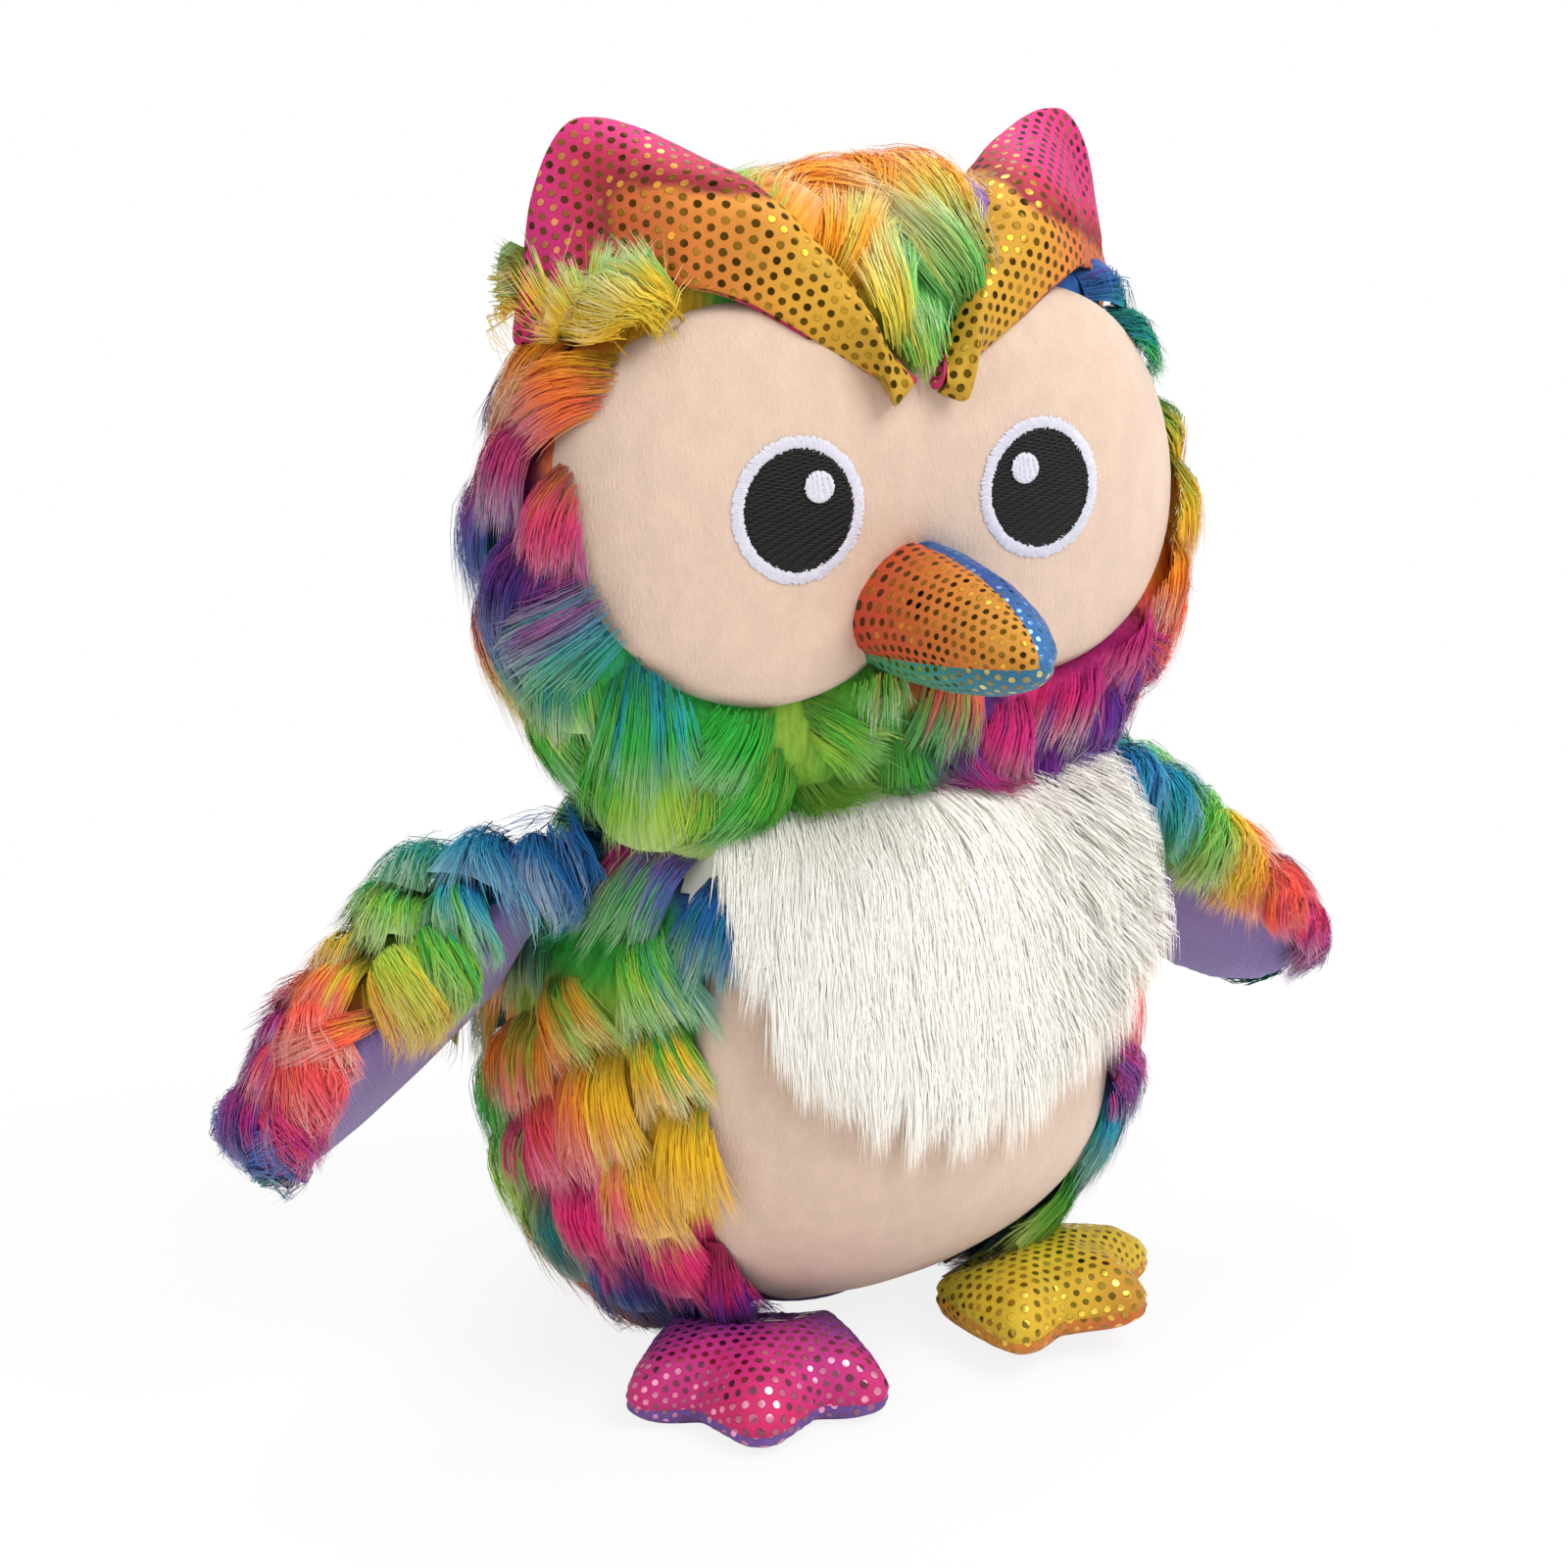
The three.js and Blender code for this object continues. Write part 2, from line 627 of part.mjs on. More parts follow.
// A pillow over the foot's outline. Its seam lies at the edge height, and its top swells
// towards the instep. Inset draws the whole form in.
function footForm(inset, levels) {
  const { origin, along, side } = footFrame();
  const outline = footOutline();
  const hub = new THREE.Vector2(footToeReach * 0.52, 0);
  const seamAt = (u) =>
    THREE.MathUtils.lerp(footHinge.height, footEdgeHeight, THREE.MathUtils.smoothstep(u, 0, footToeReach));
  const place = (point, height) =>
    origin
      .clone()
      .addScaledVector(along, point.x)
      .addScaledVector(side, point.y)
      .setZ(height);
  const rings = levels.map(([rise, draw]) =>
    outline.map((edge) => {
      const shrink = 1 - inset / edge.distanceTo(hub);
      const point = hub.clone().lerp(edge, shrink * draw);
      const seam = seamAt(point.x);
      const roof = footHeight - inset;
      const height = rise >= 0 ? THREE.MathUtils.lerp(seam, roof, rise) : seam + rise * (seam - inset);
      return place(point, height);
    }),
  );
  return loft(rings);
}

const footUpper = [[0, 1], [0.36, 0.94], [0.75, 0.74], [0.97, 0.36]];
const footLower = [[-1, 0.8], [-0.55, 0.95]];

// Colours, with the roughness and sheen of each fabric
const fabric = (colour, roughness = 0.9, metalness = 0) =>
  new THREE.MeshStandardMaterial({ color: colour, roughness, metalness });
const materials = {
  rainbowFur: fabric(0x59b84a),
  creamMinky: fabric(0xe8d3bd),
  whiteFur: fabric(0xf2eee6),
  purpleTricot: fabric(0x8671ab),
  pinkFoil: fabric(0xd81b60, 0.45, 0.3),
  goldFoil: fabric(0xd9a91e, 0.45, 0.3),
  blueFoil: fabric(0x1f63b5, 0.4, 0.3),
  greenFoil: fabric(0x3c9465, 0.45, 0.3),
  orangeFoil: fabric(0xe8622a, 0.45, 0.3),
  violetFoil: fabric(0x7a3f96, 0.45, 0.3),
  blackThread: fabric(0x17130f, 0.7),
  whiteThread: fabric(0xf3f0f5, 0.7),
  filling: fabric(0xf4f4f4, 1),
};

const owl = new THREE.Group();
const groups = {};
for (const [name, place] of Object.entries({
  body: [0, 0, 0],
  head: [0, -neckForward, neckHeight],
  left_wing: [wingRoot.across, -wingRoot.forward, wingRoot.height],
  right_wing: [-wingRoot.across, -wingRoot.forward, wingRoot.height],
  left_foot: [footHinge.across, -footHinge.forward, footHinge.height],
  right_foot: [-footHinge.across, -footHinge.forward, footHinge.height],
})) {
  groups[name] = new THREE.Group();
  groups[name].position.set(...place);
  owl.add(groups[name]);
}

// Adds a solid, made in the owl's frame, to a group that stands at its own pivot.
function add(group, name, solid, material) {
  const { x, y, z } = groups[group].position;
  const mesh = new THREE.Mesh(geometryOf(solid).translate(-x, -y, -z), material);
  mesh.name = name;
  groups[group].add(mesh);
}

// Body
const underNeck = slabBetween(0, neckHeight - seamGap / 2);
const bodyCavity = bodyForm(0, coreSteps, neckHeight + cutOverrun);
const wing = wingFrame();
const foot = footFrame();
foot.origin.setZ(footHinge.height);
const wingHingeLength = wingRootChord / Math.cos(wingRootSkew * degrees);
const wingNotch = hingeBar(
  wing.origin,
  wing.hinge,
  wingHingeLength + 2 * wingRootRadius,
  wingRootRadius + hingeGap,
);
const footNotch = hingeBar(foot.origin, foot.side, footRootWidth + 2 * footRootRadius, footRootRadius + hingeGap);
const notches = [wingNotch, mirrored(wingNotch), footNotch, mirrored(footNotch)];

// Cuts a solid by others, and drops the snips that come off it.
function cutAll(solid, cutters) {
  const left = cutters.reduce((rest, cutter) => rest.subtract(cutter), solid);
  return left.decompose().sort((a, b) => b.volume() - a.volume())[0];
}

const basePlug = new THREE.CylinderGeometry(
  basePanelRadius + seamGap,
  basePanelRadius + seamGap,
  2 * (basePanelThickness + seamGap),
  36,
).rotateX(Math.PI / 2).translate(0, basePanelBehind, 0);
const bodyOuter = (cover) => bodyForm(cover, bodySteps, neckHeight + cutOverrun).intersect(underNeck);
const bodyCover = tuftedBody()
  .intersect(underNeck)
  .subtract(bodyCavity)
  .subtract(frontEllipse(bellyPanel, seamGap / 2))
  .subtract(frontEllipse(chestBib, seamGap / 2))
  .subtract(solidOf(basePlug));
add("body", "body_cover", cutAll(bodyCover, notches), materials.rainbowFur);

const bellyShell = bodyOuter(minkyCover)
  .subtract(bodyCavity)
  .intersect(frontEllipse(bellyPanel, -seamGap / 2))
  .subtract(frontEllipse(chestBib, seamGap / 2));
add("body", "belly_panel", cutAll(bellyShell, notches), materials.creamMinky);

const bib = bodyOuter(bibCover).subtract(bodyCavity).intersect(frontEllipse(chestBib, -seamGap / 2));
add("body", "chest_bib", cutAll(bib, notches), materials.whiteFur);

add(
  "body",
  "body_stuffing",
  bodyForm(-seamGap, coreSteps, neckHeight + cutOverrun).intersect(underNeck),
  materials.filling,
);
const basePanel = new THREE.CylinderGeometry(basePanelRadius, basePanelRadius, basePanelThickness, 36);
basePanel.rotateX(Math.PI / 2).translate(0, basePanelBehind, basePanelThickness / 2);
add("body", "base_panel", solidOf(basePanel), materials.rainbowFur);

// Head
const overNeck = slabBetween(neckHeight + seamGap / 2, headHeight + 2 * headRise);
const skullCavity = headForm(0, skullSteps);
const headCover = tuftedHead()
  .intersect(overNeck)
  .subtract(skullCavity)
  .subtract(faceMask(seamGap / 2));
const facePanel = headForm(minkyCover, headSteps).subtract(skullCavity).intersect(faceMask(-seamGap / 2));
const beakOuter = beakForm(0);
const beakSocket = beakForm(-seamGap);
const faceOuterWithGap = headForm(minkyCover + seamGap, headSteps);

const earSolids = {
  front: earLayer(0, 1, seamGap / 2),
  back: earLayer(-0.5, 0, seamGap / 2),
};
const earKeepOut = faceOuterWithGap.add(headForm(furCover - furPile + seamGap, headSteps));
const ears = {};
for (const side of ["front", "back"]) {
  ears[side] = earSolids[side].subtract(earKeepOut);
}
const earPocket = earLayer(0, 1, -seamGap).add(earLayer(-0.5, 0, -seamGap));
const earPockets = [earPocket, mirrored(earPocket)];

add("head", "head_cover", cutAll(headCover, [beakSocket, ...earPockets]), materials.rainbowFur);
add("head", "face_panel", cutAll(facePanel, [beakSocket, ...earPockets]), materials.creamMinky);
add("head", "head_stuffing", headForm(-seamGap, skullSteps).intersect(overNeck).subtract(beakSocket), materials.filling);

for (const [side, copy] of [["left", (s) => s], ["right", mirrored]]) {
  add("head", `ear_front_${side}`, copy(ears.front), materials.pinkFoil);
  add("head", `ear_back_${side}`, copy(ears.back), materials.goldFoil);
}

// Eyes: embroidery stands on the face panel
const embroidery = headForm(minkyCover + embroideryThickness, headSteps).subtract(faceOuterWithGap);
const eyeColumn = (radius) => faceColumn(eye.across, eye.height, radius);
const glintColumn = (radius) =>
  faceColumn(eye.across - eyeGlintOffset.across, eye.height + eyeGlintOffset.up, radius, 12);
const eyeWhite = embroidery
  .intersect(eyeColumn(eyeWhiteRadius))
  .subtract(eyeColumn(eyePupilRadius + seamGap / 2));
const eyePupil = embroidery
  .intersect(eyeColumn(eyePupilRadius - seamGap / 2))
  .subtract(glintColumn(eyeGlintRadius + seamGap / 2));
const eyeGlint = embroidery.intersect(glintColumn(eyeGlintRadius - seamGap / 2));
for (const [side, copy] of [["left", (s) => s], ["right", mirrored]]) {
  add("head", `eye_white_${side}`, copy(eyeWhite), materials.whiteThread);
  add("head", `eye_pupil_${side}`, copy(eyePupil), materials.blackThread);
  add("head", `eye_glint_${side}`, copy(eyeGlint), materials.whiteThread);
}

// Beak: three sewn panels over their stuffing
const skullWithGap = headForm(seamGap, skullSteps);
const beakShell = beakOuter.subtract(beakForm(beakPanelThickness)).subtract(skullWithGap);
const beakUpper = beakShell.subtract(beakBelowSeam(seamGap / 2));
add("head", "beak_panel_left", beakUpper.intersect(sideOf(1, seamGap / 2)), materials.blueFoil);
add("head", "beak_panel_right", beakUpper.intersect(sideOf(-1, seamGap / 2)), materials.orangeFoil);
add("head", "beak_panel_lower", beakShell.intersect(beakBelowSeam(-seamGap / 2)), materials.greenFoil);
add("head", "beak_stuffing", beakForm(beakPanelThickness + seamGap).subtract(skullWithGap), materials.filling);

// Wings: a fur panel, a lining panel and batting between them
const wingFur = wingLayer(
  { level: seamGap / 2, bulge: wingBattingBulge },
  { level: wingRootRadius, bulge: wingFurBulge },
);
const wingLining = wingLayer(
  { level: -wingRootRadius, bulge: -wingLiningBulge },
  { level: -wingRootRadius + wingLiningThickness, bulge: -wingLiningBulge + wingLiningThickness / 2 },
);
const wingBatting = wingLayer(
  { level: -wingRootRadius + wingLiningThickness + seamGap, bulge: -wingLiningBulge + wingLiningThickness },
  { level: -seamGap / 2, bulge: wingBattingBulge - seamGap },
  wingBattingInset,
);
// Where the shoulder and the head press on the wing at rest and as it swings, it is hollow.
const shoulder = bodyOuter(furCover + hingeGap)
  .add(bodyOuter(bibCover + hingeGap).intersect(frontEllipse(chestBib, hingeGap)))
  .add(headForm(furCover + 2 * hingeGap, headSteps).intersect(overNeck))
  .subtract(wingNotch);
const wingStops = [0, wingFlap.down / 2, wingFlap.down, -wingFlap.up / 4, -wingFlap.up / 2, -wingFlap.up];
const wingPressed = (solid) =>
  wingStops.reduce(
    (left, angle) => left.subtract(turned(shoulder, wing.origin, wing.hinge, -angle)),
    solid,
  );
for (const [side, copy] of [["left", (s) => s], ["right", mirrored]]) {
  add(`${side}_wing`, `wing_fur_${side}`, copy(wingPressed(wingFur)), materials.rainbowFur);
  add(`${side}_wing`, `wing_lining_${side}`, copy(wingPressed(wingLining)), materials.purpleTricot);
  add(`${side}_wing`, `wing_batting_${side}`, copy(wingPressed(wingBatting)), materials.filling);
}

// Feet: a top panel and a sole panel over their stuffing
const lifted = (solid, angle) => turned(solid, foot.origin, foot.side, -angle);
const footWhole = footForm(0, [...footLower, ...footUpper]);
const footHollow = footForm(footPanelThickness, [...footLower, ...footUpper]);
const footShell = footWhole.subtract(footHollow);
const footSplit = footForm(-seamGap, [[0, 1], [1, 1], [2, 1]]);
const footPieces = {
  top: footShell.intersect(footSplit.translate([0, 0, seamGap / 2])),
  sole: footShell.subtract(footSplit.translate([0, 0, -seamGap / 2])),
  stuffing: footForm(footPanelThickness + seamGap, [...footLower, ...footUpper]),
};
// The belly hangs over the instep, which is pressed flat where the foot rises against it.
const belly = cutAll(bodyForm(furCover + hingeGap, bodySteps), [footNotch]);
const footMaterials = {
  left: { top: materials.goldFoil, sole: materials.orangeFoil, stuffing: materials.filling },
  right: { top: materials.pinkFoil, sole: materials.violetFoil, stuffing: materials.filling },
};
const footPressed = (solid) =>
  [0, 0.25, 0.5, 0.75, 1].reduce(
    (left, share) => left.subtract(lifted(belly, -share * footRaise)),
    solid,
  );
for (const [side, copy] of [["left", (s) => s], ["right", mirrored]]) {
  for (const [piece, solid] of Object.entries(footPieces)) {
    const placed = lifted(footPressed(solid), footLift[side]);
    add(`${side}_foot`, `foot_${piece}_${side}`, copy(placed), footMaterials[side][piece]);
  }
}

export default owl;
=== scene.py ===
"""A plush owl with tie-dyed fur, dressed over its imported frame.

Sizes are in metres, in the part's own frame: +Z is up, the owl faces -Y and its left is +X.
Every fibre of the fur is a thin tapered ribbon that grows from the skin of the CAD model.
"""

import logging
import math
from collections.abc import Callable, Sequence
from dataclasses import dataclass
from enum import Enum

import bmesh
import bpy
import numpy as np
from bmesh.types import BMesh
from bpy.types import Material, Object
from mathutils import Matrix, Vector
from mathutils.bvhtree import BVHTree


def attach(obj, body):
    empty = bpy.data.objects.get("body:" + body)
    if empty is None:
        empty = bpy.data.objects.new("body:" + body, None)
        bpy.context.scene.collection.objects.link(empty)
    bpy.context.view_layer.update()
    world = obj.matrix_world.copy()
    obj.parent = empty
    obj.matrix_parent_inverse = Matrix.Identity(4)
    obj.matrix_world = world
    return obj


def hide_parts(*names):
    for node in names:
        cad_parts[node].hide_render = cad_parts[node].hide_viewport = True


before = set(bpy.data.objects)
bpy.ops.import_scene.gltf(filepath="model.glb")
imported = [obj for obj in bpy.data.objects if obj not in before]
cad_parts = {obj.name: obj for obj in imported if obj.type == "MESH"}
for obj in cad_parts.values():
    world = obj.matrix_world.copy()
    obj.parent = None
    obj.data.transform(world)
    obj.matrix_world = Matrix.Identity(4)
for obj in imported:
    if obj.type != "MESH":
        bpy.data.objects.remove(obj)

Array = np.ndarray
Reading = Callable[[Array], Array]

MM = 0.001
UP = np.array([0.0, 0.0, 1.0])
FLOOR_GAP = 0.4 * MM
SEAM_DIP = 2.5 * MM
BLOCK = 65536
LOG = logging.getLogger("plush_owl")


class Dye(Enum):
    """The colours that the fur is tie-dyed with, as sRGB."""

    PINK = "#f2317f"
    CORAL = "#f9604a"
    MAGENTA = "#c8207f"
    PURPLE = "#6c34a4"
    INDIGO = "#3a2a86"
    BLUE = "#2467b4"
    CYAN = "#25a3c6"
    TEAL = "#128f86"
    GREEN = "#2fb63a"
    MINT = "#86d98a"
    LIME = "#b5d949"
    YELLOW = "#fbc92a"
    ORANGE = "#fb8f1c"


def linear(colour: str) -> Array:
    """Turns an sRGB hex colour into linear light.

    Args:
        colour: The colour as "#rrggbb".

    Returns:
        Red, green and blue from 0 to 1.
    """
    srgb = np.array([int(colour[i : i + 2], 16) for i in (1, 3, 5)]) / 255
    return np.where(srgb <= 0.04045, srgb / 12.92, ((srgb + 0.055) / 1.055) ** 2.4)


def unit(vectors: Array) -> Array:
    """Scales each row to length 1.

    Args:
        vectors: Vectors along the last axis.

    Returns:
        The same directions with unit length.
    """
    length = np.linalg.norm(vectors, axis=-1, keepdims=True)
    return vectors / np.maximum(length, 1e-12)


def smoothstep(low: float, high: float, value: Array) -> Array:
    """Rises smoothly from 0 at low to 1 at high.

    Args:
        low: Where the rise starts.
        high: Where the rise ends.
        value: Numbers to map.

    Returns:
        Numbers from 0 to 1.
    """
    share = np.clip((value - low) / (high - low), 0, 1)
    return share * share * (3 - 2 * share)


class Ripple:
    """Smooth noise made of sine waves in random directions."""

    def __init__(self, seed: int, wavelength: float, waves: int = 7) -> None:
        """Chooses the waves.

        Args:
            seed: Fixes the pattern.
            wavelength: Typical distance between crests.
            waves: How many waves are added up.
        """
        rng = np.random.default_rng(seed)
        heading = unit(rng.normal(size=(waves, 3)))
        self.vectors = heading * (2 * math.pi / wavelength) * rng.uniform(0.6, 1.6, (waves, 1))
        self.phases = rng.uniform(0, 2 * math.pi, waves)
        self.waves = waves

    def at(self, points: Array) -> Array:
        """Reads the noise.

        Args:
            points: Places, along the last axis.

        Returns:
            One number per place, mostly from -1 to 1.
        """
        total = np.sin(points @ self.vectors.T + self.phases).sum(-1)
        return total / math.sqrt(self.waves)


# Shaders and fabrics


def joined(operation: str, flipped: bool = False) -> Callable[..., "Field"]:
    """Makes the method for an operator between a field and another value.

    Args:
        operation: What the Math node does.
        flipped: Whether the other value comes first.

    Returns:
        The method.
    """

    def method(field: "Field", other: "Field | float") -> "Field":
        pair = (other, field) if flipped else (field, other)
        return field.shader.math(operation, *pair)

    return method


class Field:
    """A shader output that takes part in arithmetic, as nodes."""

    __add__, __radd__ = joined("ADD"), joined("ADD", True)
    __sub__, __rsub__ = joined("SUBTRACT"), joined("SUBTRACT", True)
    __mul__, __rmul__ = joined("MULTIPLY"), joined("MULTIPLY", True)
    __truediv__ = joined("DIVIDE")
    least = joined("MINIMUM")

    def __init__(self, shader: "Shader", socket: bpy.types.NodeSocket) -> None:
        """Wraps a socket.

        Args:
            shader: The shader whose tree the socket is in.
            socket: An output socket.
        """
        self.shader = shader
        self.socket = socket

    def floor(self) -> "Field":
        """Rounds down."""
        return self.shader.math("FLOOR", self)

    def fract(self) -> "Field":
        """Keeps what is left after rounding down."""
        return self.shader.math("FRACT", self)

    def rise(self, low: float, high: float) -> "Field":
        """Maps low to 0 and high to 1, smoothly and clamped."""
        return self.shader.node(
            "ShaderNodeMapRange",
            {"interpolation_type": "SMOOTHSTEP"},
            {"Value": self, "From Min": low, "From Max": high},
            "Result",
        )


class Shader:
    """A material that is built from nodes round one Principled shader."""

    def __init__(self, name: str, **constants: float) -> None:
        """Starts a material.

        Args:
            name: The material's name.
            **constants: Principled sockets to set, with underscores for spaces.
        """
        self.material = bpy.data.materials.new(name)
        self.material.use_nodes = True
        self.tree = self.material.node_tree
        self.surface = self.tree.nodes["Principled BSDF"]
        for socket, value in constants.items():
            title = socket.replace("_", " ").title().replace("Ior", "IOR")
            self.surface.inputs[title].default_value = value

    def node(
        self,
        kind: str,
        settings: dict[str, object],
        inputs: dict[str | int, object],
        output: str | int,
    ) -> Field:
        """Adds one node.

        Args:
            kind: The node's type.
            settings: Properties of the node.
            inputs: Socket values, where a Field becomes a link.
            output: The output to return.

        Returns:
            That output as a Field.
        """
        made = self.tree.nodes.new(kind)
        for key, value in settings.items():
            setattr(made, key, value)
        for key, value in inputs.items():
            if isinstance(value, Field):
                self.tree.links.new(value.socket, made.inputs[key])
            else:
                made.inputs[key].default_value = value
        return Field(self, made.outputs[output])

    def math(self, operation: str, *values: "Field | float") -> Field:
        """Adds a Math node."""
        return self.node("ShaderNodeMath", {"operation": operation}, dict(enumerate(values)), 0)

    def mix(self, factor: "Field | float", first: object, second: object) -> Field:
        """Blends two colours, each a Field or an array of three numbers."""
        sides = [v if isinstance(v, Field) else (*v, 1.0) for v in (first, second)]
        settings = {"data_type": "RGBA", "blend_type": "MIX"}
        return self.node("ShaderNodeMix", settings, {0: factor, 6: sides[0], 7: sides[1]}, 2)

    def scale(self, colour: object, amount: "Field | float") -> Field:
        """Multiplies a colour by a number."""
        value = colour if isinstance(colour, Field) else tuple(colour)
        settings = {"operation": "SCALE"}
        return self.node("ShaderNodeVectorMath", settings, {0: value, "Scale": amount}, 0)

    def attribute(self, name: str, output: str) -> Field:
        """Reads what the mesh carries under a name."""
        settings = {"attribute_type": "GEOMETRY", "attribute_name": name}
        return self.node("ShaderNodeAttribute", settings, {}, output)

    def axes(self, vector: Field) -> list[Field]:
        """Splits a vector into its three numbers."""
        split = self.tree.nodes.new("ShaderNodeSeparateXYZ")
        self.tree.links.new(vector.socket, split.inputs[0])
        return [Field(self, split.outputs[i]) for i in range(3)]

    def place(self) -> Field:
        """The place on the object, in metres."""
        return self.node("ShaderNodeTexCoord", {}, {}, "Object")

    def noise(self, scale: float, detail: float = 2, vector: Field | None = None) -> Field:
        """Smooth noise from 0 to 1 with features of about 1 / scale metres."""
        source = vector or self.place()
        inputs = {"Vector": source, "Scale": scale, "Detail": detail}
        return self.node("ShaderNodeTexNoise", {}, inputs, "Fac")

    def upright(self, share: float) -> Field:
        """The place, with its height scaled by a share."""
        inputs = {"Vector": self.place(), "Scale": (1, 1, share)}
        return self.node("ShaderNodeMapping", {}, inputs, 0)

    def bump(self, height: Field, distance: float, strength: float = 1) -> None:
        """Makes a height raise the surface, on top of earlier bumps."""
        inputs = {"Height": height, "Distance": distance, "Strength": strength}
        normal = self.surface.inputs["Normal"]
        if normal.is_linked:
            inputs["Normal"] = Field(self, normal.links[0].from_socket)
        self.drive("Normal", self.node("ShaderNodeBump", {}, inputs, 0))

    def drive(self, socket: str, value: Field) -> None:
        """Links a value to a socket of the Principled shader."""
        self.tree.links.new(value.socket, self.surface.inputs[socket])


@dataclass(frozen=True)
class FurFabric:
    """Dyed fibres with painted shade towards their roots, which fade towards their tips.

    The mesh carries a dye colour, and for each point of a fibre its share along the fibre,
    the fibre's tone and how frosted the fibre is.
    """

    name: str
    fade: tuple[float, float, float] = (0.95, 0.93, 0.85)
    # How bright the painted shade leaves a fibre at its root.
    painted_root_brightness: float = 0.48
    frost: float = 0.7
    roughness: float = 0.75

    def material(self) -> Material:
        """Builds the material."""
        shader = Shader(self.name, roughness=self.roughness, specular_ior_level=0.25)
        dye = shader.attribute("dye", "Color")
        along, tone, frost = shader.axes(shader.attribute("fibre", "Vector"))
        streak = shader.noise(1, 5, shader.attribute("streak", "Vector"))
        # Painted shade: each fibre darkens towards its root, where shade falls deep in the fur;
        # tone and streak vary at random.
        light = self.painted_root_brightness + (1 - self.painted_root_brightness) * along.rise(0.05, 0.5)
        light = light * (0.85 + 0.44 * tone) * (0.4 + 1.2 * streak)
        faded = frost * along.rise(0.5, 1) * self.frost
        shader.bump(streak, 0.7 * MM, 0.8)
        shader.drive("Base Color", shader.mix(faded, shader.scale(dye, light), self.fade))
        return shader.material


@dataclass(frozen=True)
class MinkyFabric:
    """Short dense pile that is brushed smooth, with faint streaks."""

    name: str
    colour: str

    def material(self) -> Material:
        """Builds the material."""
        shader = Shader(self.name, roughness=0.95, sheen_weight=0.35, sheen_roughness=0.5)
        base = linear(self.colour)
        streaks = shader.noise(220, 5, shader.upright(0.7))
        clouds = shader.noise(45, 3)
        grain = shader.noise(1900, 4, shader.upright(0.35))
        tone = 0.93 + 0.07 * streaks.rise(0.35, 0.7) + 0.06 * clouds + 0.14 * (grain - 0.5)
        shader.drive("Base Color", shader.scale(base, tone))
        shader.bump(streaks, 0.6 * MM, 0.3)
        shader.bump(grain, 0.35 * MM, 0.7)
        return shader.material


@dataclass(frozen=True)
class TricotFabric:
    """Flat knitted fabric with fine ribs along the cloth's second direction."""

    name: str
    colour: str
    rib: float = 0.85 * MM

    def material(self) -> Material:
        """Builds the material."""
        shader = Shader(self.name, roughness=0.9, sheen_weight=0.3, sheen_roughness=0.5)
        across, along, _ = shader.axes(shader.attribute("cloth", "Vector"))
        wave = shader.math("SINE", across * (2 * math.pi / self.rib))
        stitch = shader.math("SINE", (along + 0.5 * across) * (2 * math.pi / (0.7 * self.rib)))
        fuzz = shader.noise(900, 4)
        height = 0.5 + 0.3 * wave + 0.15 * stitch + 0.35 * fuzz
        # The ribs are darker where they are low, as painted shade in their grooves; the noise
        # varies at random.
        tone = 0.8 + 0.16 * height + 0.3 * (shader.noise(70, 3) - 0.5)
        shader.drive("Base Color", shader.scale(linear(self.colour), tone))
        shader.bump(height, 0.22 * MM, 0.8)
        return shader.material


@dataclass(frozen=True)
class FoilFabric:
    """Shaded knitted fabric with small round foil dots in offset rows.

    The mesh carries the ground colour, and the cloth's own two directions in metres.
    """

    name: str
    foil: str
    pitch: float = 2.75 * MM
    dot: float = 0.78 * MM
    knit: float = 0.42 * MM
    dull: float = 0.5

    def _dots(self, shader: Shader) -> tuple[Field, Field]:
        """How far the nearest dot's middle is, and a number that is its own."""
        u, v, _ = shader.axes(shader.attribute("cloth", "Vector"))
        row = self.pitch * math.sqrt(3)
        gaps, names = [], []
        for shift in (0.0, 0.5):
            x, y = u / self.pitch + shift, v / row + shift
            dx, dy = (x.fract() - 0.5) * self.pitch, (y.fract() - 0.5) * row
            gaps.append(shader.math("SQRT", dx * dx + dy * dy))
            cell = shader.node(
                "ShaderNodeCombineXYZ", {}, {0: x.floor(), 1: y.floor(), 2: shift}, 0
            )
            names.append(
                shader.node("ShaderNodeTexWhiteNoise", {"noise_dimensions": "3D"}, {0: cell}, 0)
            )
        first = shader.math("LESS_THAN", gaps[0], gaps[1])
        return gaps[0].least(gaps[1]), names[0] * first + names[1] * (1 - first)

    def material(self) -> Material:
        """Builds the material."""
        shader = Shader(self.name, roughness=0.5)
        ground = shader.attribute("dye", "Color")
        gap, own = self._dots(shader)
        dot = 1 - gap.rise(self.dot * 0.86, self.dot * 1.05)
        u, v, _ = shader.axes(shader.attribute("cloth", "Vector"))
        turns = 2 * math.pi / self.knit
        knit = shader.math("SINE", (u + v) * turns) * shader.math("SINE", (u - v) * turns)
        # The knit's loops are lighter on top and darker between, as painted shade; the noise varies
        # at random.
        cloth = shader.scale(ground, 0.9 + 0.12 * knit + 0.3 * (shader.noise(60, 2) - 0.5))
        foil = shader.mix(0.35, linear(self.foil), ground)
        # Painted glints: each dot's own number brightens it, the brightest dots most, as if they
        # caught the light.
        shine = own * own * own
        foil = shader.scale(foil, (1.05 - self.dull) * (0.6 + 0.6 * own) + shine)
        shader.drive("Base Color", shader.mix(dot, cloth, foil))
        shader.drive("Metallic", dot * 0.95)
        shader.drive("Roughness", 0.62 - dot * (0.5 - 0.2 * own))
        tilt = (u * (own - 0.5) + v * (0.5 - own).fract()) * 60
        shader.bump(shader.noise(220, 2) + dot * tilt, 0.35 * MM, 0.5)
        shader.bump(knit * (1 - dot) * 0.5 + dot, 0.07 * MM, 0.7)
        return shader.material


